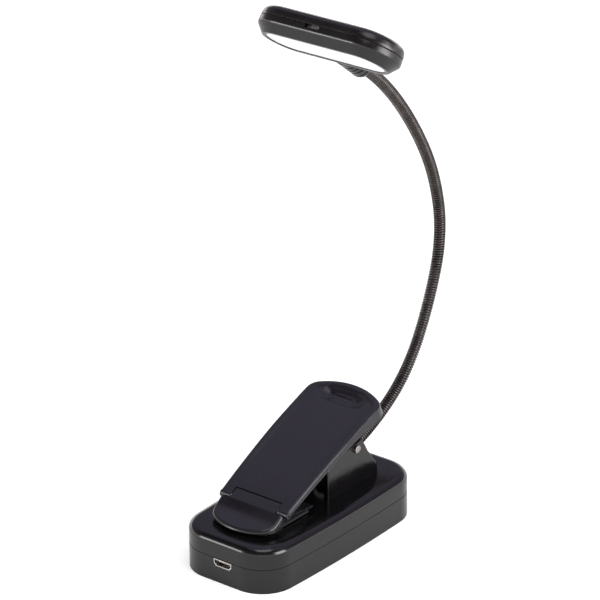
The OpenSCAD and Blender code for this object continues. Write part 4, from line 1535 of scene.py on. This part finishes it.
    def build(self) -> None:
        """Makes the head's pieces."""
        bezel, cover = self.bezel(), self.cover()
        self.half_sleeve(bezel, upper=True)
        self.half_sleeve(cover, upper=False)
        for bm, name, node in ((bezel, "lamp_bezel", "head_bezel"),
                               (cover, "lamp_back", "head_back_cover"),
                               (self.collar(), "neck_dome", "neck_collar")):
            make_piece(bm, name, "head", Slot.HEAD, [node], self.frame)
        make_piece(self.knob(), "slide_knob", "switch", Slot.KNOB, ["switch_knob"], self.frame)


# ---------------- stage


@dataclass(frozen=True)
class Lamp:
    """A soft square lamp: its middle and side in metres, and its power in watts."""

    name: str
    place: Triple
    size: float
    power: float
    aim: Triple = (0, 0, 0.08)

    def build(self) -> None:
        """Adds the lamp, facing its aim."""
        light = bpy.data.lights.new(self.name, "AREA")
        light.shape, light.size, light.energy = "SQUARE", self.size, self.power
        place = Vector(self.place)
        turn = (Vector(self.aim) - place).to_track_quat("-Z", "Y").to_matrix().to_4x4()
        put(self.name, light).matrix_world = Matrix.Translation(place) @ turn


@dataclass(frozen=True)
class Studio:
    """A plain pale floor, soft light from all round and three broad soft lamps.

    Glossy surfaces see a sky that is brightest at the horizon, dark in front and paler behind.
    """

    floor_size: float = 4.0
    floor_drop: float = 0.00005
    floor_white: float = 0.93
    floor_mottle: float = 0.01
    floor_lift: float = 0.3
    floor_roughness: float = 0.9
    ambient: float = 0.72
    horizon: Colour = (2.6, 2.45, 2.4)
    front_sky: Colour = (0.24, 0.22, 0.25)
    dark_sky: Colour = (0.05, 0.045, 0.055)
    low_sky: Colour = (0.27, 0.25, 0.33)
    high_sky: Colour = (0.50, 0.46, 0.63)
    horizon_rise: Point = (0.02, 0.24)
    high_rise: Point = (0.5, 0.8)
    dark_rise: Point = (0.6, 0.76)
    zenith_rise: Point = (0.86, 0.95)
    behind_y: Point = (-0.2, 0.16)
    lamps: tuple[Lamp, ...] = (Lamp("lamp_top", (0.3, -0.3, 1.5), 0.8, 4.0),
                               Lamp("lamp_front", (-0.75, -1.04, 0.30), 0.4, 4.5),
                               Lamp("lamp_right", (1.3, 0.1, 0.44), 0.8, 17.0))

    def floor(self) -> None:
        """Makes the floor, which keeps the lamp's shadow."""
        bm = bmesh.new()
        bmesh.ops.create_grid(bm, x_segments=2, y_segments=2, size=self.floor_size / 2)
        bmesh.ops.translate(bm, verts=bm.verts, vec=(0, 0, -self.floor_drop))
        mesh = as_mesh(bm, "floor")
        material = bpy.data.materials.new("floor_white")
        material.use_nodes = True
        wires = Wiring(material.node_tree)
        white, pale = self.floor_white, self.floor_white - self.floor_mottle
        seen = wires.add("LightPath").outputs["Is Camera Ray"]
        lift = self.floor_lift
        wires.feed(wires.tree.nodes["Principled BSDF"], {
            "Base Color": wires.blend(wires.noise(wires.here(), 3.0), (pale, pale, pale, 1),
                                      (white, white, white, 1)),
            "Roughness": self.floor_roughness, "Specular IOR Level": 0.0,
            "Emission Color": wires.blend(seen, (0, 0, 0, 1), (lift, lift, lift, 1)),
            "Emission Strength": 1.0})
        mesh.materials.append(material)
        floor = put("floor", mesh)

    def world(self) -> None:
        """Lights the lamp evenly; the camera sees white, and clear or glossy surfaces the sky."""
        world = bpy.data.worlds.new("studio")
        bpy.context.scene.world = world
        world.use_nodes = True
        wires = Wiring(world.node_tree)
        way = wires.add("SeparateXYZ", {0: wires.add("TexCoord").outputs["Generated"]})
        up = way.outputs["Z"]
        back = wires.blend(wires.ramp(up, *self.high_rise), shade(self.low_sky),
                           shade(self.high_sky))
        front = wires.blend(wires.ramp(up, *self.dark_rise), shade(self.front_sky),
                            shade(self.dark_sky))
        opened = wires.math("MAXIMUM", wires.ramp(way.outputs["Y"], *self.behind_y),
                            wires.ramp(up, *self.zenith_rise))
        sky = wires.blend(opened, front, back)
        room = wires.blend(wires.ramp(up, *self.horizon_rise), shade(self.horizon), sky)
        path = wires.add("LightPath")
        shiny = wires.math("MAXIMUM", path.outputs["Is Glossy Ray"],
                           path.outputs["Is Transmission Ray"])
        level = wires.blend(shiny, (self.ambient, self.ambient, self.ambient, 1), room)
        seen = wires.blend(path.outputs["Is Camera Ray"], level, (1, 1, 1, 1))
        wires.feed(wires.tree.nodes["Background"], {"Color": seen, "Strength": 1.0})

    def build(self) -> None:
        """Sets the stage."""
        bpy.context.scene.view_settings.view_transform = "Standard"
        self.floor()
        self.world()
        for lamp in self.lamps:
            lamp.build()


@dataclass(frozen=True)
class Viewpoint:
    """The camera: a long lens from the front right, a little above."""

    azimuth: float = 38.64
    elevation: float = 23.97
    roll: float = -0.34
    distance: float = 1198.2
    target: Triple = (0.0, 0.89, 88.56)
    lens: float = 216.0
    sensor: float = 36.0
    far: float = 20.0

    def build(self) -> None:
        """Adds the camera and makes it the scene's own."""
        a, e, r = (math.radians(v) for v in (self.azimuth, self.elevation, self.roll))
        back = Vector((math.sin(a) * math.cos(e), -math.cos(a) * math.cos(e), math.sin(e)))
        right = Vector((math.cos(a), math.sin(a), 0))
        up = back.cross(right)
        rolled = right * math.cos(r) + up * math.sin(r)
        stood = up * math.cos(r) - right * math.sin(r)
        data = bpy.data.cameras.new("camera")
        data.lens, data.sensor_width, data.clip_end = self.lens, self.sensor, self.far
        camera = put("camera", data)
        place = (Vector(self.target) + back * self.distance) * MM
        turn = Matrix((rolled, stood, back)).transposed().to_4x4()
        camera.matrix_world = Matrix.Translation(place) @ turn
        bpy.context.scene.camera = camera


def joint_point(name: str) -> Vector:
    """Where a joint of the frame turns, in millimetres."""
    joint = next(j for j in frame["joints"] if j["name"] == name)
    return Vector(joint["pos_m"]) / MM


def main() -> None:
    """Builds the lamp round its frame, and the stage round the lamp."""
    logging.basicConfig(level=logging.INFO, format="%(name)s: %(message)s")
    Viewpoint().build()
    Studio().build()
    for build in (build_grain, build_edges, build_dust):
        build()
    MATERIALS.update((finish.slot, finish.build()) for finish in FINISHES)
    dress_nodes()
    low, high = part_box("base_lower_shell")
    outline = BaseOutline(half_l=(high.y - low.y) / 2 / MM, half_w=(high.x - low.x) / 2 / MM)
    pin, root = joint_point("lever_open"), joint_point("neck_bend_1")
    path = NeckPath((root.y, root.z))
    tilt = math.radians(LEVER_TILT)
    for part in (Base(outline, pin, path),
                 Lever(Matrix.Translation(pin) @ turned(LEVER_TILT, "X")),
                 Jaw(joint_point("jaw_tilt"), math.tan(tilt)), ClipSteel(pin, tilt), Neck(path),
                 Head(path.frame(path.length))):
        part.build()


if __name__ == "__main__":
    main()
